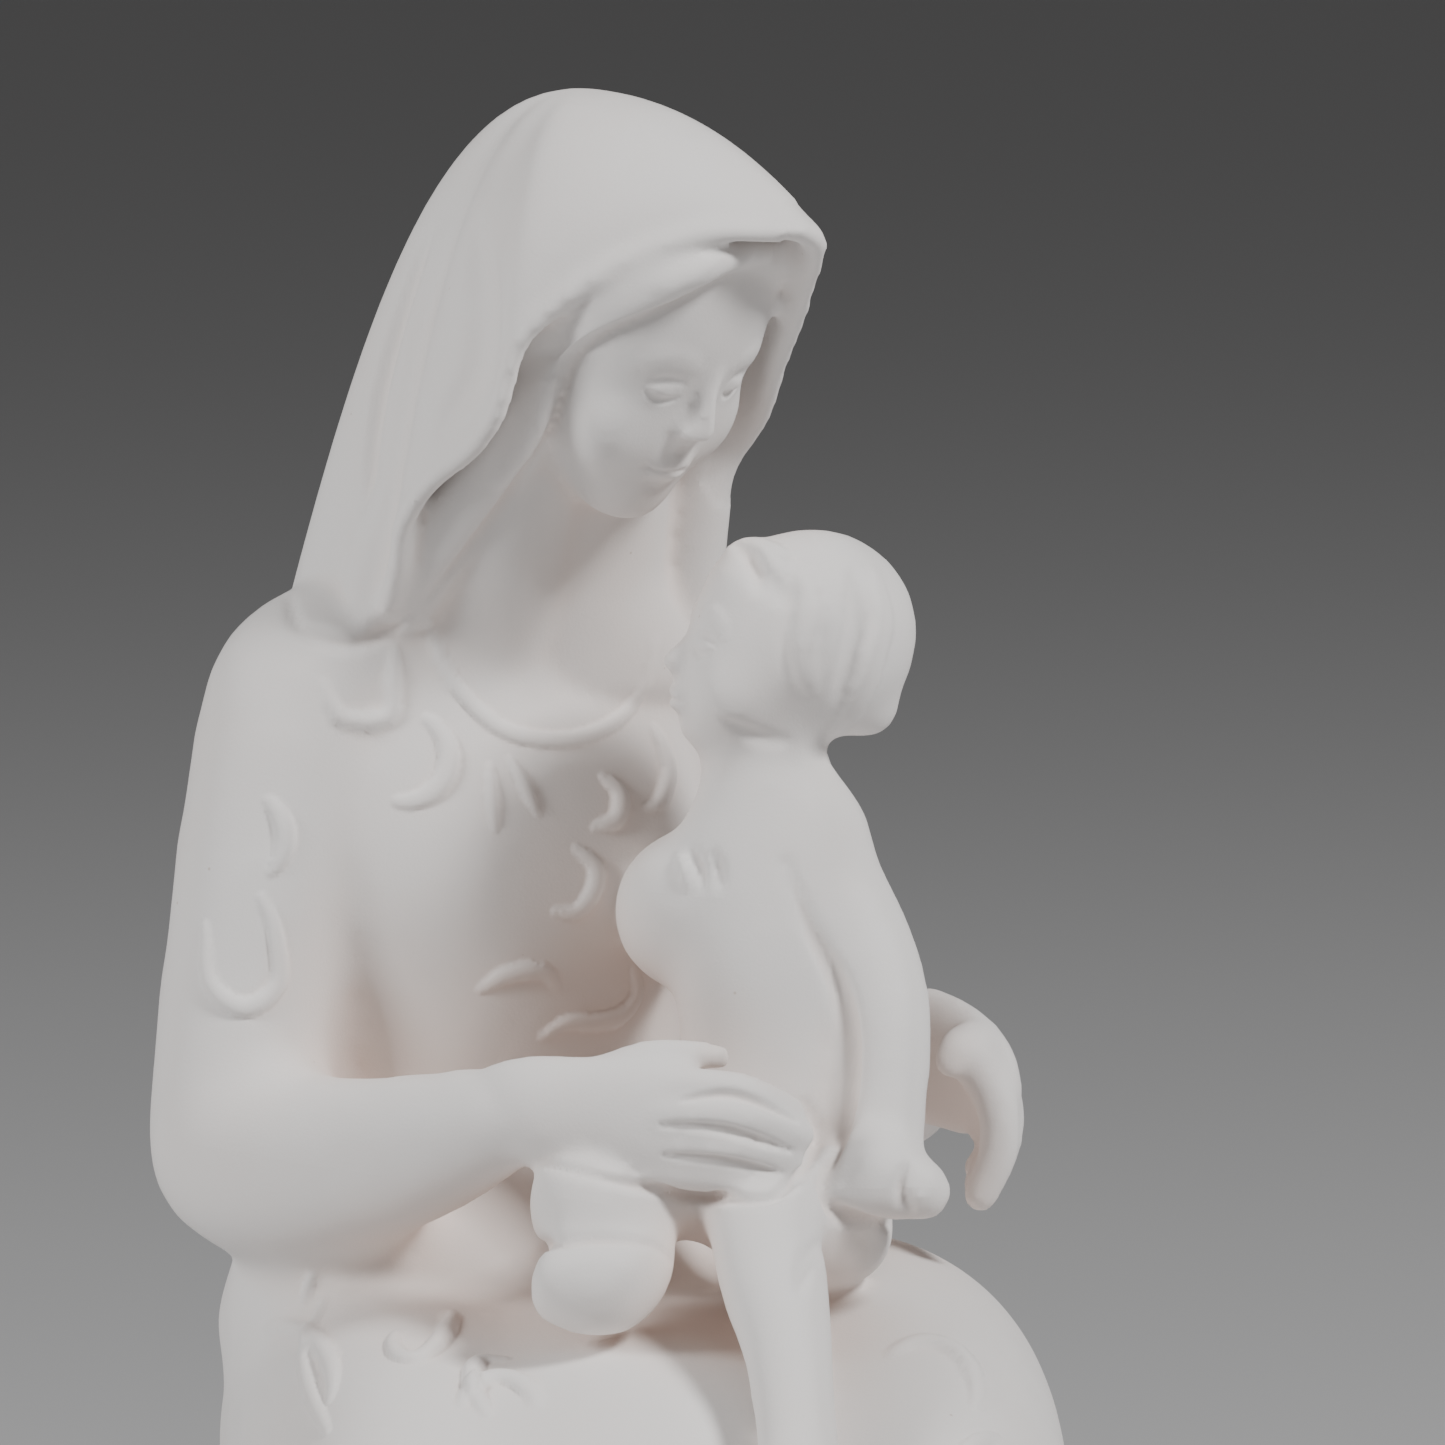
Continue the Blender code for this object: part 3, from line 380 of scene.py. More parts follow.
veil = {
    "crown": (-3.5, -7.0, 302.2),
    "thickness": 0.0024,
    "roll": 1.9, "nearRoll": 1.35,          # radius of the rolled rim, far and near
    # rows of x, y, z, the share that the cloth leans in above the edge, and its rise
    "near": [(26.5, -32, 284.3, 0.2, 0.55), (19.8, -33.5, 284.6, 0.2, 0.55), (11.9, -33.5, 284.4, 0.1, 0.6),
             (3.7, -32.5, 282, 0, 0.6), (-3, -31.5, 278.5, 0, 0.6), (-8.1, -30, 274.8, 0, 0.6),
             (-12.3, -28.5, 270.6, 0, 0.6), (-14, -27.5, 265.8, 0, 0.6), (-15.4, -26.5, 261.3, 0.05, 0.6),
             (-18.4, -23.5, 256.7, 0.1, 0.6), (-24, -18.5, 251.8, 0.15, 0.6), (-27.1, -15, 246.6, 0.2, 0.6),
             (-27.8, -12, 241.2, 0.22, 0.6), (-29, -9, 236, 0.25, 0.6)],
    "hem": [(-35, -4, 233.2, 0.27, 0.6), (-41, 5, 235, 0.22, 0.6), (-40, 20, 225, 0.22, 0.6),
            (-25, 31, 212, 0.15, 0.6), (-6, 33, 210, 0.15, 0.6), (9, 28, 216, 0.15, 0.6)],
    "far": [(12, 16, 236, 0.1, 0.6), (12, 11, 246, 0.05, 0.6), (16, 6.5, 254, 0, 0.6),
            (20.2, 1, 261, 0, 0.6), (22.4, -7, 269, 0, 0.6), (25.2, -19, 277.3, 0.1, 0.55)],
    "calming": 125,                         # rounds that smooth the edge for the upper cloth
    "rimSteps": 10, "rings": 40,            # how finely the cloth is divided
    "hoodMiddle": (4.0, 258.0),
    # hair and inner cloth that fill the hood round the neck
    "lining": [
        [(-6, 0, 268, 14, 13), (-8, 3, 256, 16, 13), (-11, 7, 243, 19, 12.5), (-12, 10, 231, 25, 12)],
        [(-6.5, -21, 270, 3.5), (-10, -19, 262.5, 4), (-14, -15, 255.5, 4.2), (-19.5, -10, 247.5, 4.4),
         (-26, -4, 237.5, 4.6)],
        [(12, 5, 263, 4), (11, 8, 253, 4.5), (9.5, 11, 243, 5), (8.5, 13, 234, 5)]],
}


def modelVeil(form):
    # a surface spread from the crown to its edge, then thickened inwards
    crown = Vector(veil["crown"])
    edge = drawn(veil["near"] + veil["hem"] + veil["far"])
    steps = veil["rimSteps"]
    rim = smoothRun([edge[-1], *edge, *edge[:2]], steps)[steps:-steps - 1]
    calm = rim.copy()
    for _ in range(veil["calming"]):
        calm += 0.5 * ((np.roll(calm, 1, axis=0) + np.roll(calm, -1, axis=0)) / 2 - calm)
    shell = bmesh.new()
    top = shell.verts.new(placing @ crown)
    rings = []
    for t in np.linspace(0, 1, veil["rings"] + 1)[1:]:
        ring = []
        for (x, y, z, _, _), (calmX, calmY, calmZ, lean, rise) in zip(rim, calm):
            foot = Vector((x, y, z))
            aim = Vector((calmX, calmY, calmZ))
            out = aim - crown
            out.z = 0
            first = crown + out * 0.5
            second = aim - out * lean + Vector((0, 0, (crown.z - calmZ) * rise))
            point = crown * (1 - t) ** 3 + first * 3 * t * (1 - t) ** 2
            point += second * 3 * t * t * (1 - t) + foot * t ** 3
            ring.append(shell.verts.new(placing @ point))
        rings.append(ring)
    for i in range(len(rim)):
        j = (i + 1) % len(rim)
        shell.faces.new((top, rings[0][i], rings[0][j]))
        for inner, outer in zip(rings, rings[1:]):
            shell.faces.new((inner[i], outer[i], outer[j], inner[j]))
    bmesh.ops.recalc_face_normals(shell, faces=shell.faces[:])
    if shell.faces[0].normal.z < 0:
        bmesh.ops.reverse_faces(shell, faces=shell.faces[:])
    thing = studyObject(shell)
    thicken = thing.modifiers.new("thickness", "SOLIDIFY")
    thicken.thickness = veil["thickness"]
    thicken.offset = -1
    form.from_mesh(bakedMesh(thing))
    front = []
    for x, y, z, _, _ in [*edge[-7:], *edge[:14]]:
        inwards = Vector((veil["hoodMiddle"][0] - x, 0, veil["hoodMiddle"][1] - z)).normalized()
        roll = veil["roll"] if x > 21 or y > -8 else veil["nearRoll"]
        front.append((*(Vector((x, y, z)) + inwards * roll * 0.75), roll))
    limb(form, front, (0, 1, 0), sides=20)
    for lining in veil["lining"]:
        limb(form, drawn(lining))


def modelBase(form):
    # an oval slab the size of the CAD one, reaching below the ground that it is cut at
    halfWidth = (highCorner.x - lowCorner.x) / 2
    halfDepth = (highCorner.y - lowCorner.y) / 2
    levels = [(-base["height"] / 2, 0.0), (base["height"] - base["edge"], 0.0)]
    for angle in (15, 30, 45, 60, 75, 90):
        drop = base["edge"] * (1 - sin(radians(angle)))
        levels.append((base["height"] - drop, base["edge"] * (1 - cos(radians(angle)))))
    rings = []
    for height, inset in levels:
        ring = []
        for i in range(base["sides"]):
            angle = 2 * pi * i / base["sides"]
            x = (halfWidth - inset) * cos(angle)
            y = (halfDepth - inset) * sin(angle)
            ring.append(form.verts.new((x, y, height)))
        rings.append(ring)
    form.faces.new(rings[0][::-1])
    form.faces.new(rings[-1])
    for low, high in zip(rings, rings[1:]):
        for i in range(base["sides"]):
            j = (i + 1) % base["sides"]
            form.faces.new((low[i], low[j], high[j], high[i]))


# Fusing and softening the clay
clay = {
    "bodyGrain": 0.0022, "bodyRounds": 10,      # the broad masses
    "fleshGrain": 0.0013, "fleshRounds": 8,     # heads and the child
    "skinGrain": 0.00075, "skinRounds": 12,     # everything as one skin
    "skinHold": 0.9,                            # near 1 gives back what softening shrinks
    "rimRounds": (12, 14),                      # the veil's far rim, before and after the strokes
    "crispWidth": 2,                            # narrower ridges get a crisp foot
}


def studyObject(form):
    mesh = bpy.data.meshes.new("study")
    form.to_mesh(mesh)
    form.free()
    thing = bpy.data.objects.new("study", mesh)
    bpy.context.scene.collection.objects.link(thing)
    return thing


def bakedMesh(thing):
    depsgraph = bpy.context.evaluated_depsgraph_get()
    mesh = bpy.data.meshes.new_from_object(thing.evaluated_get(depsgraph))
    bpy.data.objects.remove(thing)
    return mesh


def fusedSkin(form, grain):
    thing = studyObject(form)
    fuse = thing.modifiers.new("fuse", "REMESH")
    fuse.mode = "VOXEL"
    fuse.voxel_size = grain
    return bakedMesh(thing)


def meshPoints(mesh, field="co"):
    values = np.empty(len(mesh.vertices) * 3)
    mesh.vertices.foreach_get(field, values)
    return values.reshape(-1, 3)


def setPoints(mesh, points):
    mesh.vertices.foreach_set("co", points.ravel())
    mesh.update()


def meshEdges(mesh):
    values = np.empty(len(mesh.edges) * 2, int)
    mesh.edges.foreach_get("vertices", values)
    return values.reshape(-1, 2)


def neighbourMean(values, edges):
    count = len(values)
    share = np.maximum(np.bincount(edges.ravel(), minlength=count), 1)[:, None]
    total = np.empty_like(values)
    for axis in range(values.shape[1]):
        column = values[:, axis]
        total[:, axis] = np.bincount(edges[:, 0], column[edges[:, 1]], count)
        total[:, axis] += np.bincount(edges[:, 1], column[edges[:, 0]], count)
    return total / share


def softened(points, edges, rounds, hold=0.0):
    points = points.copy()
    for _ in range(rounds):
        points += 0.5 * (neighbourMean(points, edges) - points)
        if hold:
            points -= 0.52 * hold * (neighbourMean(points, edges) - points)
    return points


def softenMesh(mesh, rounds, hold=0.0):
    setPoints(mesh, softened(meshPoints(mesh), meshEdges(mesh), rounds, hold))


def refinedMesh(mesh):
    # the same soft mass with four faces for each one
    thing = bpy.data.objects.new("study", mesh)
    bpy.context.scene.collection.objects.link(thing)
    finer = thing.modifiers.new("finer", "SUBSURF")
    finer.levels = 1
    finer.render_levels = 1
    return bakedMesh(thing)


# Tool strokes: tapered ridges and grooves laid along runs of points on the skin
def frontSight(x, z):
    start = placing @ eyePoint()
    return start, (placing @ boardPoint(x, z) - start).normalized()


def sideSight(azimuth):
    turn = Matrix.Rotation(radians(azimuth), 4, "Z")

    def sight(x, z):
        start = turn @ Vector((x * unit, -highCorner.z, 0))
        start.z = base["height"] + (z - board["ground"][2]) * unit
        return start, turn @ Vector((0, 1, 0))
    return sight


def faceSight(head):
    # rays from in front of a face, laid out in shares of the head's height
    pose = placing @ headPose(head)

    def sight(x, z):
        start = pose @ Vector((x, -0.9, z))
        return start, (pose @ Vector((x, 0, z)) - start).normalized()
    return sight


def laidLine(tree, sight, run):
    found = []
    for x, z in run:
        place, slope, _, _ = tree.ray_cast(*sight(x, z))
        if place:
            found.append((*place, *slope))
    found = np.array(found)
    if len(found) < 3:
        return found
    steps = np.linalg.norm(np.diff(found[:, :3], axis=0), axis=1)
    reach = np.concatenate([[0], np.cumsum(steps)])
    marks = np.linspace(0, reach[-1], max(8, int(reach[-1] / (0.4 * unit))))
    return np.stack([np.interp(marks, reach, column) for column in found.T], axis=1)


def pressLine(points, slopes, line, width, height):
    width *= unit
    height *= unit
    low = line[:, :3].min(axis=0) - 2.5 * width
    high = line[:, :3].max(axis=0) + 2.5 * width
    near = np.flatnonzero(np.all((points > low) & (points < high), axis=1))
    if not len(near):
        return
    gap = np.empty(len(near))
    closest = np.empty(len(near), int)
    for start in range(0, len(near), 4000):
        some = near[start:start + 4000]
        apart = np.linalg.norm(points[some, None] - line[None, :, :3], axis=2)
        closest[start:start + 4000] = apart.argmin(axis=1)
        gap[start:start + 4000] = apart.min(axis=1)
    share = closest / (len(line) - 1)
    taper = np.sin(pi * (0.04 + 0.92 * share)) ** 0.6
    facing = np.clip((slopes[near] * line[closest, 3:]).sum(axis=1), 0, 1)
    reach = gap / (width * (0.35 + 0.65 * taper))
    if height > 0 and width < clay["crispWidth"] * unit:
        bulge = np.sqrt(np.clip(1 - (reach / 1.15) ** 2, 0, 1))     # half round, with a crisp foot
    else:
        bulge = np.exp(-reach ** 2.6)
    points[near] += slopes[near] * (height * taper * facing * bulge)[:, None]


def bow(x, z, radius, start, end):
    angles = np.radians(np.linspace(start, end, 18))
    return [(x + radius * cos(angle), z + radius * sin(angle)) for angle in angles]


def wave(rows):
    return smoothRun(rows, 6).tolist()


def mirrored(run):
    return [(-x, z) for x, z in run]


relief = {
    "width": 1.25, "height": 1.0,
    "neckWidth": 1.0, "neckHeight": 0.75,
    # curls of the dress that are bows: middle, radius, and where the bow starts and ends
    "curls": [(-26, 217.6, 5.6, -100, 60), (-47, 207.5, 6, -45, 50), (39.5, 137.5, 6.6, -15, 130),
              (48.5, 128, 4, 90, 250), (-42, 139, 7, -20, 100), (-14, 134.5, 5, 20, 160)],
    "swirls": [
        ((-36.1, 226.9), (-34, 222.7), (-28.3, 222.7), (-27.6, 226.3), (-27.3, 231)),
        ((-0.9, 215.1), (1.1, 213), (0.8, 210), (-1.9, 208.8)),
        ((-4.3, 206), (-2, 203.8), (-2.2, 200.8), (-4.3, 198.2), (-6.9, 198.2)),
        ((-16.3, 188.4), (-13, 190.3), (-8.9, 190.7), (-6.9, 188.9)),
        ((2.9, 191), (3.2, 187.9), (1.3, 185.2), (-1.8, 184.3), (-5.4, 184.3), (-8.4, 182.5)),
        ((5.4, 221.3), (6.6, 218.5), (7.2, 215.5), (6.2, 212), (4.4, 211.2)),
        ((-51.1, 196.3), (-50.4, 189.2), (-46.1, 186.1), (-41.9, 189.2), (-42.5, 196.3), (-44, 199.9)),
        ((-19.9, 147.8), (-20.6, 145.8), (-22.3, 143.3), (-24.5, 141.9), (-26.6, 142.3), (-27.5, 143.8),
         (-27.1, 145.2)),
        ((-36.4, 148.8), (-38.4, 143.5), (-37.9, 138), (-35.7, 132.7)),
        ((-13.4, 141.8), (-16.8, 141.4), (-17.5, 138.4), (-15.6, 134.9))],
    "leaves": [((-15.3, 216.6), (-15.1, 212.5), (-14.6, 208.6)), ((-12.7, 217.4), (-11, 214), (-9.2, 210.6)),
               ((8.4, 205.6), (9.4, 203.6), (9.8, 201)),
               ((-37.4, 153), (-38.8, 148.6))],
    "neckline": ((-23.5, 235.5), (-20, 227.5), (-13.8, 221.3), (-6.3, 219.8), (0, 221.7), (3.8, 226),
                 (5.6, 232)),
    # rows of curls round the sides and the back: height, count and size
    "skirtRows": [(38, 8, 7), (68, 8, 7), (98, 8, 7)],
    "backRows": [(168, 2, 6), (190, 2, 6)],
}


def dressStrokes():
    strokes = []
    width = relief["width"]
    height = relief["height"]
    for row in relief["curls"]:
        strokes.append((frontSight, bow(*row), width, height))
    for swirl in relief["swirls"]:
        strokes.append((frontSight, wave(swirl), width * 0.9, height))
    for leaf in relief["leaves"]:
        strokes.append((frontSight, wave(leaf), width * 0.65, height * 0.8))
    strokes.append((frontSight, wave(relief["neckline"]), relief["neckWidth"], relief["neckHeight"]))
    for row, (z, count, radius) in enumerate(relief["skirtRows"]):
        for step in range(count):
            azimuth = 360 / count * step + 22 * (row % 2) - 60
            start = 90 * ((step + row) % 4)
            run = bow(0, z, radius, start, start + 130)
            strokes.append((sideSight(azimuth), run, width * 1.2, height))
    for row, (z, count, radius) in enumerate(relief["backRows"]):
        for step in range(count):
            start = 120 * (step + row)
            run = bow(10 * row - 5, z, radius, start, start + 130)
            strokes.append((sideSight(160 + 30 * step), run, width * 1.1, height * 0.9))
    return strokes


# Hair, seen from the front: run, width and height of each stroke
locks = {
    "mother": [
        (((17.7, 280.8), (15.2, 278.6), (11, 276.5), (5.4, 274), (-0.2, 271.5), (-3.7, 268.8), (-5.4, 266),
          (-6.8, 261.8), (-7.9, 258.3), (-10.7, 254.1), (-12.8, 250.6), (-17.7, 244.3), (-23.3, 237.3)),
         0.9, -1.1),
        (((20, 281.4), (15, 280.4), (10.3, 278.3), (4.7, 275.7), (-1, 273), (-4.8, 270), (-6.9, 266.4),
          (-8.6, 261.5), (-10.4, 257.5), (-13.6, 252.6)), 2.1, 2.0),
        (((16.3, 281), (9.6, 279), (4, 276.6), (-1.5, 273.8), (-5.4, 270.6)), 0.6, -0.7)],
    "child": [
        (((33.5, 240.5), (34.2, 235), (33.3, 231.3), (31.4, 225.3), (27.5, 219.3)), 1.8, 0.9),
        (((30.7, 241), (31.2, 235), (30.4, 230.5), (28.6, 225)), 1.5, -0.8),
        (((14.7, 245.2), (16.5, 243.8), (18.2, 241.4), (18.4, 238.5)), 0.9, -0.9),
        (((17.5, 245.8), (20.2, 243.4), (21.4, 240)), 1.6, 0.8),
        (((24, 241), (25, 236), (24, 231), (25.2, 226)), 1.7, 0.9),
        (((22, 238), (22.2, 233), (22.6, 228)), 1.2, -0.5)],
}


def hairStrokes():
    return [(frontSight, wave(run), width, height) for name in locks for run, width, height in locks[name]]


folds = {
    # runs seen from the front, with the width and the height of the stroke
    "veil": [
        (((-16.8, 284), (-16, 275), (-17, 266), (-21, 259)), 3.4, -1.6),
        (((-22.8, 284), (-26.3, 273.8), (-29.3, 262.3), (-30.8, 249)), 1.5, -1.3),
        (((-20.8, 284), (-24.3, 273.8), (-27.2, 262.3), (-28.7, 249)), 2.1, 0.5),
        (((-40.5, 238), (-39.5, 234.2), (-36, 232.4), (-32.5, 232), (-28.5, 233), (-25.5, 235.4)), 1.0, -0.8),
        (((-28, 252), (-31, 244), (-32.5, 237)), 3, 0.9)],
    "child": [
        (((22.1, 204.4), (24.9, 196.7), (28.5, 189.4), (30.3, 182.3), (30, 173.2), (28.1, 168)), 1.3, -1.3),
        (((10.2, 206), (11.3, 203.6), (11.7, 201.2)), 0.8, -0.7),
        (((12.6, 205.8), (13.6, 203.4), (13.8, 201)), 0.8, -0.7),
        (((13.9, 222.5), (18, 220.4), (22.4, 219.6)), 1.0, -0.6),
        (((30.4, 171.4), (27.6, 166.9), (26.9, 163.4), (28.3, 160.6), (31.8, 159.2), (35.3, 158.8),
          (38.8, 158.1)), 1.1, -1.4),
        (((37.7, 166.6), (36.6, 163.4), (37.4, 160.2)), 0.8, -1.0),
        (((26.5, 156.6), (24.6, 153.6), (23.6, 150)), 1.2, -0.8),
        (((-10, 154.4), (-8.1, 156.2), (-1.3, 156.8), (5, 156.2), (7.6, 154.4)), 1.0, -1.1)],
    "skirtCount": 9, "skirtSpacing": 11, "skirtWidth": 4.2,
    "ridge": 1.7, "groove": -1.9,
    "skirtRun": ((0.82, 112), (0.92, 78), (1, 44), (1.06, 16)),     # share of the fold's place, height
    "backTurns": range(75, 320, 35), "backWidth": 4.5, "backGroove": -1.6,
    "backRun": ((0, 100), (2, 70), (1, 44), (-1, 16)),
}


def foldStrokes():
    laid = folds["veil"] + folds["child"]
    strokes = [(frontSight, wave(run), width, height) for run, width, height in laid]
    for i in range(folds["skirtCount"]):
        x = folds["skirtSpacing"] * (i - (folds["skirtCount"] - 1) / 2)
        height = folds["ridge"] if i % 2 else folds["groove"]
        run = wave([(x * share, z) for share, z in folds["skirtRun"]])
        strokes.append((sideSight(4), run, folds["skirtWidth"], height))
    for azimuth in folds["backTurns"]:
        strokes.append((sideSight(azimuth), wave(folds["backRun"]), folds["backWidth"], folds["backGroove"]))
    return strokes


def fineStrokes():
    strokes = [(frontSight, wave(run), hands["gapWidth"], -hands["gapDepth"]) for run in hands["gaps"]]
    strokes.append((frontSight, wave(hands["edge"]), hands["edgeWidth"], -hands["edgeDepth"]))
    for head in (motherHead, childHead):
        sight = faceSight(head)
        for run, width, height in head["sideStrokes"]:
            strokes.append((sight, wave(run), width, height))
            strokes.append((sight, wave(mirrored(run)), width, height))
        for run, width, height in head["middleStrokes"]:
            strokes.append((sight, wave(run), width, height))
    return strokes


# Where the skin gets finer faces: the middle of a place and how far it reaches, in millimetres
finePlaces = {
    "faces": [(headPose(motherHead) @ Vector((0, -0.30, -0.05)), 19.0),
              (headPose(motherHead) @ Vector((0, -0.33, -0.10)), 12.5),
              (headPose(childHead) @ Vector((0, -0.10, 0.0)), 17.5),
              (headPose(childHead) @ Vector((0, -0.33, -0.12)), 9.5)],
    "dress": [(seenAt(-8, -5, 204), 25.0), (seenAt(-46, -14, 198), 17.0), (seenAt(-28, -60, 142), 17.0),
              (seenAt(40, -66, 137), 11.0), (seenAt(12, -52, 170), 13.0)],
    "rim": [(seenAt(*row), 5.0) for row in smoothRun([r[:3] for r in veil["far"][2:] + veil["near"][:1]], 6)],
}


def refinePlaces(mesh, places):
    form = bmesh.new()
    form.from_mesh(mesh)
    for middle, reach in places:
        middle = placing @ middle
        near = [face for face in form.faces if (face.verts[0].co - middle).length < reach * unit]
        edges = list({edge for face in near for edge in face.edges})
        bmesh.ops.subdivide_edges(form, edges=edges, cuts=1, use_grid_fill=True)
    form.to_mesh(mesh)
    form.free()


def softenPlaces(mesh, places, rounds, hold):
    points = meshPoints(mesh)
    smooth = softened(points, meshEdges(mesh), rounds, hold)
    for middle, reach in places:
        near = np.linalg.norm(points - np.array(placing @ middle), axis=1) < reach * 1.05 * unit
        points[near] = smooth[near]
    setPoints(mesh, points)


def carveSkin(mesh, strokes):
    tree = BVHTree.FromPolygons(
        [vertex.co for vertex in mesh.vertices], [face.vertices for face in mesh.polygons])
    points = meshPoints(mesh)
    slopes = meshPoints(mesh, "normal")
    for sight, run, width, height in strokes:
        line = laidLine(tree, sight, run)
        if len(line) > 2:
            pressLine(points, slopes, line, width, height)
    setPoints(mesh, points)


def cutUnderside(mesh):
    form = bmesh.new()
    form.from_mesh(mesh)
    everything = form.verts[:] + form.edges[:] + form.faces[:]
    bmesh.ops.bisect_plane(
        form, geom=everything, dist=1e-6, plane_co=(0, 0, 0), plane_no=(0, 0, 1), clear_inner=True)
    rim = [edge for edge in form.edges if edge.is_boundary]
    bmesh.ops.edgeloop_fill(form, edges=rim)
    bmesh.ops.triangulate(form, faces=[face for face in form.faces if len(face.verts) > 4])
    form.to_mesh(mesh)
    form.free()


# The fired clay, unglazed
bisque = {
    "colour": (0.83, 0.805, 0.79, 1.0),
    "shadeAndCloudColour": (0.81, 0.70, 0.645, 1.0),     # painted shade mixed in at hollows and sheltered places, also the tint of the faint warm clouds
    "speckColour": (0.52, 0.42, 0.34, 1.0),
    "cloudScale": 38, "cloudShare": 0.22,       # faint warm clouds
    "speckScale": 230, "speckSize": 0.055, "speckRarity": 0.86,
    "sheen": 0.35,                              # specular level
    "roughScale": 300, "roughFrom": 0.6, "roughTo": 0.78,
    "grain": 2600,                              # noise scale of the fine tooth
    "toothStrength": 0.25, "toothDepth": 0.00012,
}


def makeBisque():
    material = bpy.data.materials.new("bisqueClay")
    material.use_nodes = True
    tree = material.node_tree
    shader = tree.nodes["Principled BSDF"]
    shader.inputs["Specular IOR Level"].default_value = bisque["sheen"]
    place = tree.nodes.new("ShaderNodeTexCoord")

    def noise(scale, detail):
        node = tree.nodes.new("ShaderNodeTexNoise")
        node.inputs["Scale"].default_value = scale
        node.inputs["Detail"].default_value = detail
        tree.links.new(place.outputs["Object"], node.inputs["Vector"])
        return node.outputs["Fac"]

    def ramp(source, low, high, first=0.0, last=1.0):
        node = tree.nodes.new("ShaderNodeMapRange")
        node.inputs["From Min"].default_value = low
        node.inputs["From Max"].default_value = high
        node.inputs["To Min"].default_value = first
        node.inputs["To Max"].default_value = last
        tree.links.new(source, node.inputs["Value"])
        return node.outputs["Result"]

    def mix(factor, a, b, blend="MIX"):
        node = tree.nodes.new("ShaderNodeMix")
        node.data_type = "RGBA"
        node.blend_type = blend
        tree.links.new(factor, node.inputs["Factor"])
        for value, name in ((a, "A"), (b, "B")):
            socket = [item for item in node.inputs if item.name == name and item.type == "RGBA"][0]
            if isinstance(value, tuple):
                socket.default_value = value
            else:
                tree.links.new(value, socket)
        return [item for item in node.outputs if item.type == "RGBA"][0]

    # Painted shade: the clay's colour turns warmer and darker by a mask of hollows and sheltered places
    paintedShade = tree.nodes.new("ShaderNodeAttribute")
    paintedShade.attribute_name = "paintedShade"
    cloud = ramp(noise(bisque["cloudScale"], 3), 0.35, 0.75, 0.0, bisque["cloudShare"])
    colour = mix(ramp(paintedShade.outputs["Fac"], 0.15, 0.95, 0.0, 0.9), bisque["colour"], bisque["shadeAndCloudColour"])
    colour = mix(cloud, colour, bisque["shadeAndCloudColour"])
    specks = tree.nodes.new("ShaderNodeTexVoronoi")
    specks.inputs["Scale"].default_value = bisque["speckScale"]
    tree.links.new(place.outputs["Object"], specks.inputs["Vector"])
    size = ramp(specks.outputs["Distance"], bisque["speckSize"], 0.035)
    sparse = tree.nodes.new("ShaderNodeMath")
    sparse.operation = "MULTIPLY"
    tree.links.new(size, sparse.inputs[0])
    rare = tree.nodes.new("ShaderNodeSeparateColor")
    tree.links.new(specks.outputs["Color"], rare.inputs["Color"])
    tree.links.new(ramp(rare.outputs["Red"], bisque["speckRarity"], 0.88, 0.0, 0.5), sparse.inputs[1])
    colour = mix(sparse.outputs["Value"], colour, bisque["speckColour"])
    tree.links.new(colour, shader.inputs["Base Color"])
    rough = ramp(noise(bisque["roughScale"], 4), 0.3, 0.7, bisque["roughFrom"], bisque["roughTo"])
    tree.links.new(rough, shader.inputs["Roughness"])
    bump = tree.nodes.new("ShaderNodeBump")
    bump.inputs["Strength"].default_value = bisque["toothStrength"]
    bump.inputs["Distance"].default_value = bisque["toothDepth"]
    tree.links.new(noise(bisque["grain"], 5), bump.inputs["Height"])
    tree.links.new(bump.outputs["Normal"], shader.inputs["Normal"])
    return material


# Painted shade: how the mask for the warmer, darker tint in hollows and sheltered places is found
shelter = {
    "grain": 0.0035, "rays": 40, "reach": 0.07,     # the coarse copy that feels for sheltered places
    "fineDepth": 0.5,                                # millimetres of hollow that count in full
    "fineRounds": 40, "fineShare": 0.35,
    "roomRounds": 20, "roomShare": 1.1,
}


def shelteredShare(mesh):
    # how much of the room above each point of a coarse copy is closed off by the figure itself, for the
    # painted shade
    thing = bpy.data.objects.new("study", mesh.copy())
    bpy.context.scene.collection.objects.link(thing)
    fuse = thing.modifiers.new("fuse", "REMESH")
    fuse.mode = "VOXEL"
    fuse.voxel_size = shelter["grain"]
    coarse = bakedMesh(thing)
    tree = BVHTree.FromPolygons(
        [vertex.co for vertex in coarse.vertices], [face.vertices for face in coarse.polygons])
    turns = pi * (3 - 5 ** 0.5)
    rays = []
    for i in range(shelter["rays"]):
        rise = 1 - 2 * (i + 0.5) / shelter["rays"]
        flat = (1 - rise * rise) ** 0.5
        rays.append(Vector((flat * cos(turns * i), flat * sin(turns * i), rise)))
    shares = []
    for vertex in coarse.vertices:
        start = vertex.co + vertex.normal * shelter["grain"]
        weights = [max(ray.dot(vertex.normal), 0.0) for ray in rays]
        closed = sum(
            weight for ray, weight in zip(rays, weights)
            if weight > 0.05 and tree.ray_cast(start, ray, shelter["reach"])[0])
        shares.append(closed / sum(weights))
    shares = softened(np.array(shares)[:, None], meshEdges(coarse), 3)[:, 0]
    places = KDTree(len(coarse.vertices))
    for i, vertex in enumerate(coarse.vertices):
        places.insert(vertex.co, i)
    places.balance()
    return np.array([shares[places.find(vertex.co)[1]] for vertex in mesh.vertices])


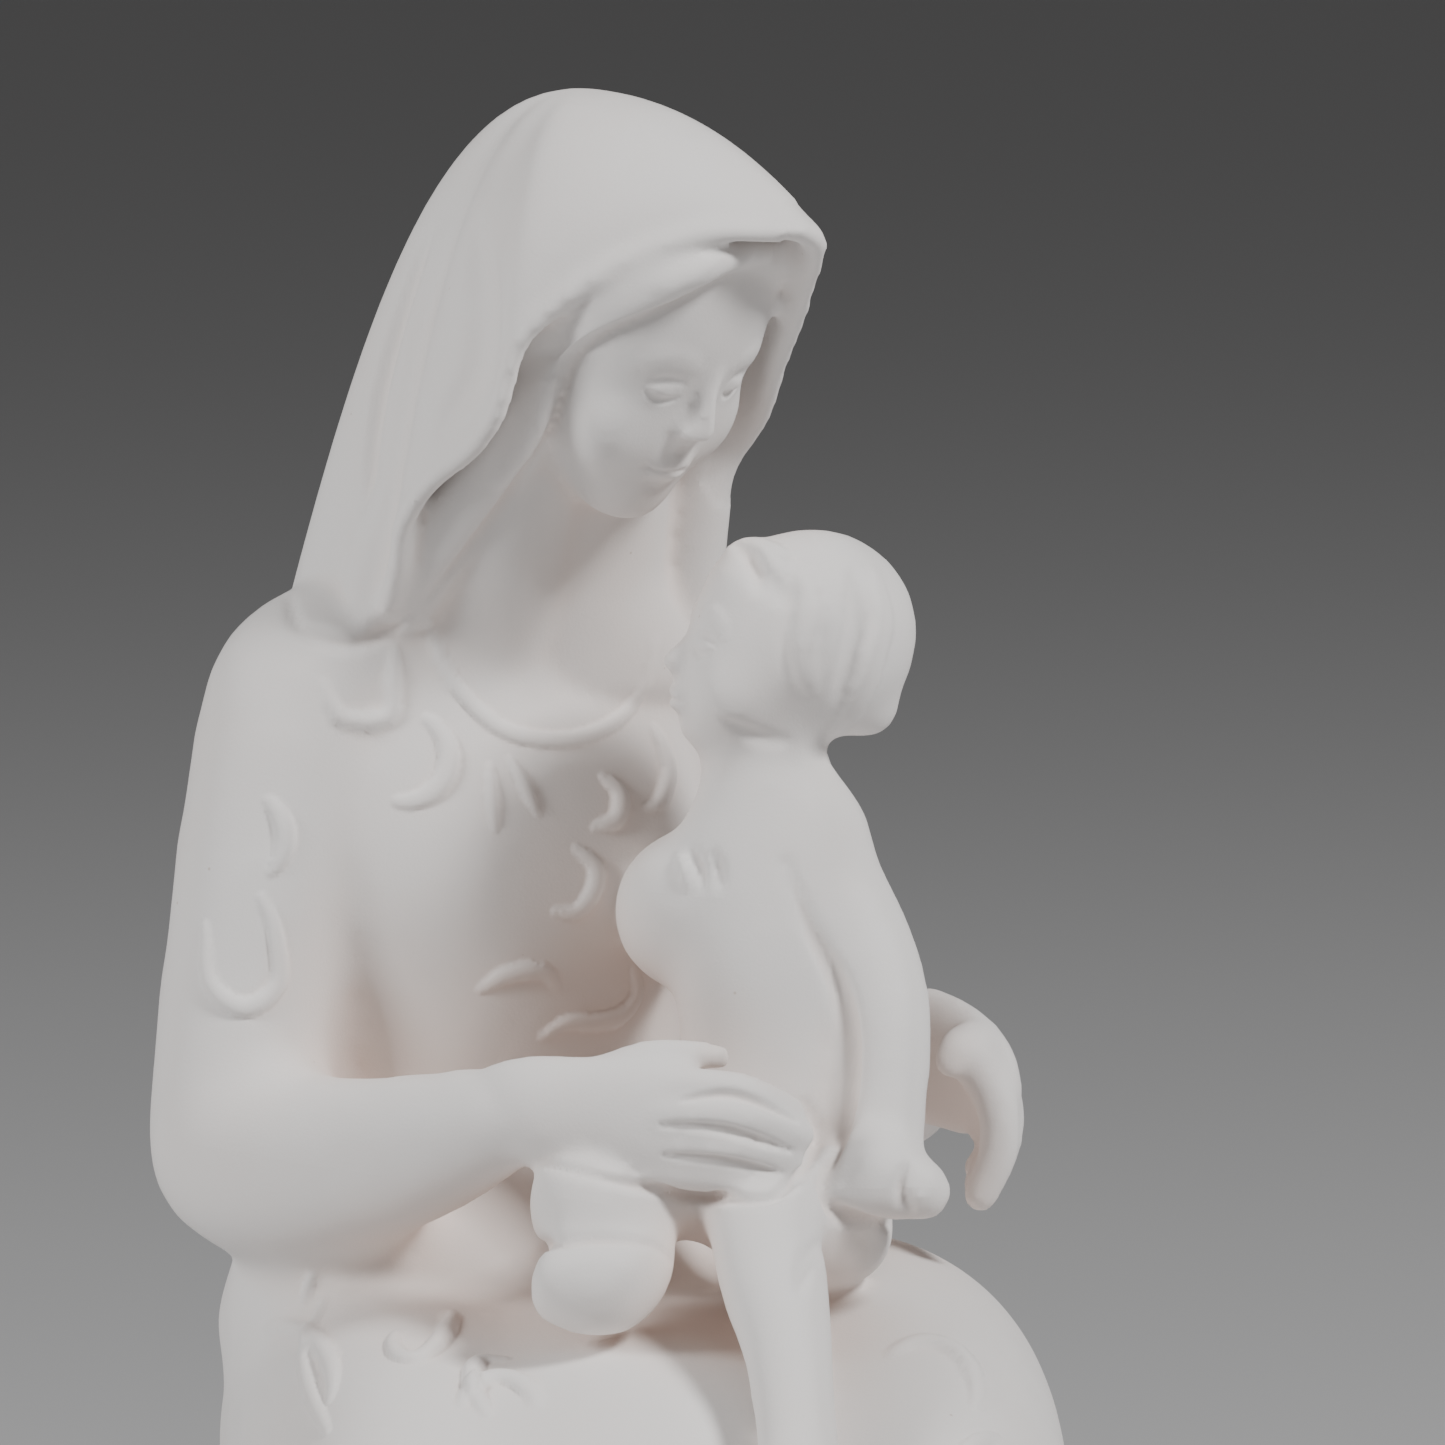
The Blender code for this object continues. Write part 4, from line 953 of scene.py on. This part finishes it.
def markPaintedShade(mesh):
    # how far each point lies in a hollow or a sheltered place, from 0 to 1: the mask for the painted shade in
    # the colour
    points = meshPoints(mesh)
    slopes = meshPoints(mesh, "normal")
    edges = meshEdges(mesh)
    depth = ((softened(points, edges, shelter["fineRounds"]) - points) * slopes).sum(axis=1) / unit
    depth = np.clip(depth / shelter["fineDepth"], 0, 1)
    share = softened(shelteredShare(mesh)[:, None], edges, shelter["roomRounds"])[:, 0]
    paintedShade = np.clip(shelter["fineShare"] * depth + shelter["roomShare"] * share, 0, 1)
    values = mesh.attributes.new("paintedShade", "FLOAT", "POINT")
    values.data.foreach_set("value", paintedShade.astype(np.float32))


# The skin is split by height into pieces that share their rims, so that none grows too heavy
parts = {
    "hoodAndFace": 0.252,           # each reaches down to this height
    "shouldersAndChildHead": 0.205,
    "chestAndChild": 0.172,
    "handsAndLap": 0.142,
    "kneesAndSkirt": 0.070,
    "hemAndBase": 0.0,
}


def partMesh(mesh, chosen, name):
    form = bmesh.new()
    form.from_mesh(mesh)
    form.faces.ensure_lookup_table()
    away = [form.faces[i] for i in np.flatnonzero(~chosen)]
    bmesh.ops.delete(form, geom=away, context="FACES")
    part = bpy.data.meshes.new(name)
    form.to_mesh(part)
    form.free()
    return part


def main():
    body = bmesh.new()
    modelDress(body)
    modelPalms(body)
    body = fusedSkin(body, clay["bodyGrain"])
    softenMesh(body, clay["bodyRounds"])
    body = refinedMesh(body)
    print("dress and body blocked out:", len(body.polygons), "faces")

    flesh = bmesh.new()
    modelMotherHead(flesh)
    modelChildHead(flesh)
    modelChild(flesh)
    flesh = fusedSkin(flesh, clay["fleshGrain"])
    softenMesh(flesh, clay["fleshRounds"])
    flesh = refinedMesh(flesh)
    print("heads and child blocked out:", len(flesh.polygons), "faces")

    whole = bmesh.new()
    modelMotherFeatures(whole)
    modelChildFeatures(whole)
    modelPalms(whole)
    modelFingers(whole)
    modelVeil(whole)
    modelBase(whole)
    whole.from_mesh(body)
    whole.from_mesh(flesh)
    skin = fusedSkin(whole, clay["skinGrain"])
    softenMesh(skin, 3)
    softenMesh(skin, clay["skinRounds"], clay["skinHold"])
    print("fused into one skin:", len(skin.polygons), "faces")

    softenPlaces(skin, finePlaces["rim"], clay["rimRounds"][0], 0.0)
    carveSkin(skin, foldStrokes() + hairStrokes())
    softenMesh(skin, 1, 1.0)
    refinePlaces(skin, finePlaces["faces"] + finePlaces["dress"])
    softenPlaces(skin, finePlaces["faces"] + finePlaces["dress"], 5, 0.8)
    carveSkin(skin, dressStrokes() + fineStrokes())
    softenPlaces(skin, finePlaces["faces"], 4, 0.3)
    softenPlaces(skin, finePlaces["rim"], clay["rimRounds"][1], 0.0)
    cutUnderside(skin)
    markPaintedShade(skin)
    print("folds and relief carved")

    material = makeBisque()
    heights = np.array([face.center.z for face in skin.polygons])
    above = np.inf
    for name, reach in parts.items():
        chosen = (heights < above) & (heights >= reach)
        piece = bpy.data.objects.new(name, partMesh(skin, chosen, name))
        bpy.context.scene.collection.objects.link(piece)
        piece.data.materials.append(material)
        piece.data.shade_smooth()
        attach(piece, "root")
        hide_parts("virgin_and_child")
        print(name, sum(len(face.vertices) - 2 for face in piece.data.polygons), "triangles")
        above = reach
    bpy.data.meshes.remove(skin)


main()

studio = {
    "floorColour": (0.6, 0.6, 0.605, 1.0), "floorRoughness": 0.9, "floorSize": 30.0,
    "worldColour": (1.0, 0.99, 0.985, 1.0), "worldLight": 0.1,
    "keyLight": ((0.8, -0.5, 1.1), 17.0, 0.26),        # place, watts and size
    "fillLight": ((-0.95, -0.45, 0.75), 9.5, 0.3),
    "lens": 200, "sensor": 36,
}


def setStudio():
    floorMesh = bpy.data.meshes.new("floor")
    form = bmesh.new()
    bmesh.ops.create_grid(form, x_segments=2, y_segments=2, size=studio["floorSize"])
    form.to_mesh(floorMesh)
    form.free()
    floor = bpy.data.objects.new("floor", floorMesh)
    bpy.context.scene.collection.objects.link(floor)
    paint = bpy.data.materials.new("paleFloor")
    paint.use_nodes = True
    shader = paint.node_tree.nodes["Principled BSDF"]
    shader.inputs["Base Color"].default_value = studio["floorColour"]
    shader.inputs["Roughness"].default_value = studio["floorRoughness"]
    floorMesh.materials.append(paint)

    world = bpy.data.worlds.new("softRoom")
    world.use_nodes = True
    sky = world.node_tree.nodes["Background"]
    sky.inputs["Color"].default_value = studio["worldColour"]
    sky.inputs["Strength"].default_value = studio["worldLight"]
    bpy.context.scene.world = world

    target = placing @ boardPoint(*board["middle"])
    for name in ("keyLight", "fillLight"):
        place, power, size = studio[name]
        light = bpy.data.lights.new(name, "AREA")
        light.energy = power
        light.size = size
        lamp = bpy.data.objects.new(name, light)
        lamp.location = place
        lamp.rotation_euler = (target - lamp.location).to_track_quat("-Z", "Y").to_euler()
        bpy.context.scene.collection.objects.link(lamp)

    lens = bpy.data.cameras.new("camera")
    lens.lens = studio["lens"]
    lens.sensor_width = studio["sensor"]
    camera = bpy.data.objects.new("camera", lens)
    camera.location = placing @ eyePoint()
    camera.rotation_euler = (target - camera.location).to_track_quat("-Z", "Y").to_euler()
    bpy.context.scene.collection.objects.link(camera)
    bpy.context.scene.camera = camera


setStudio()
print("studio set")
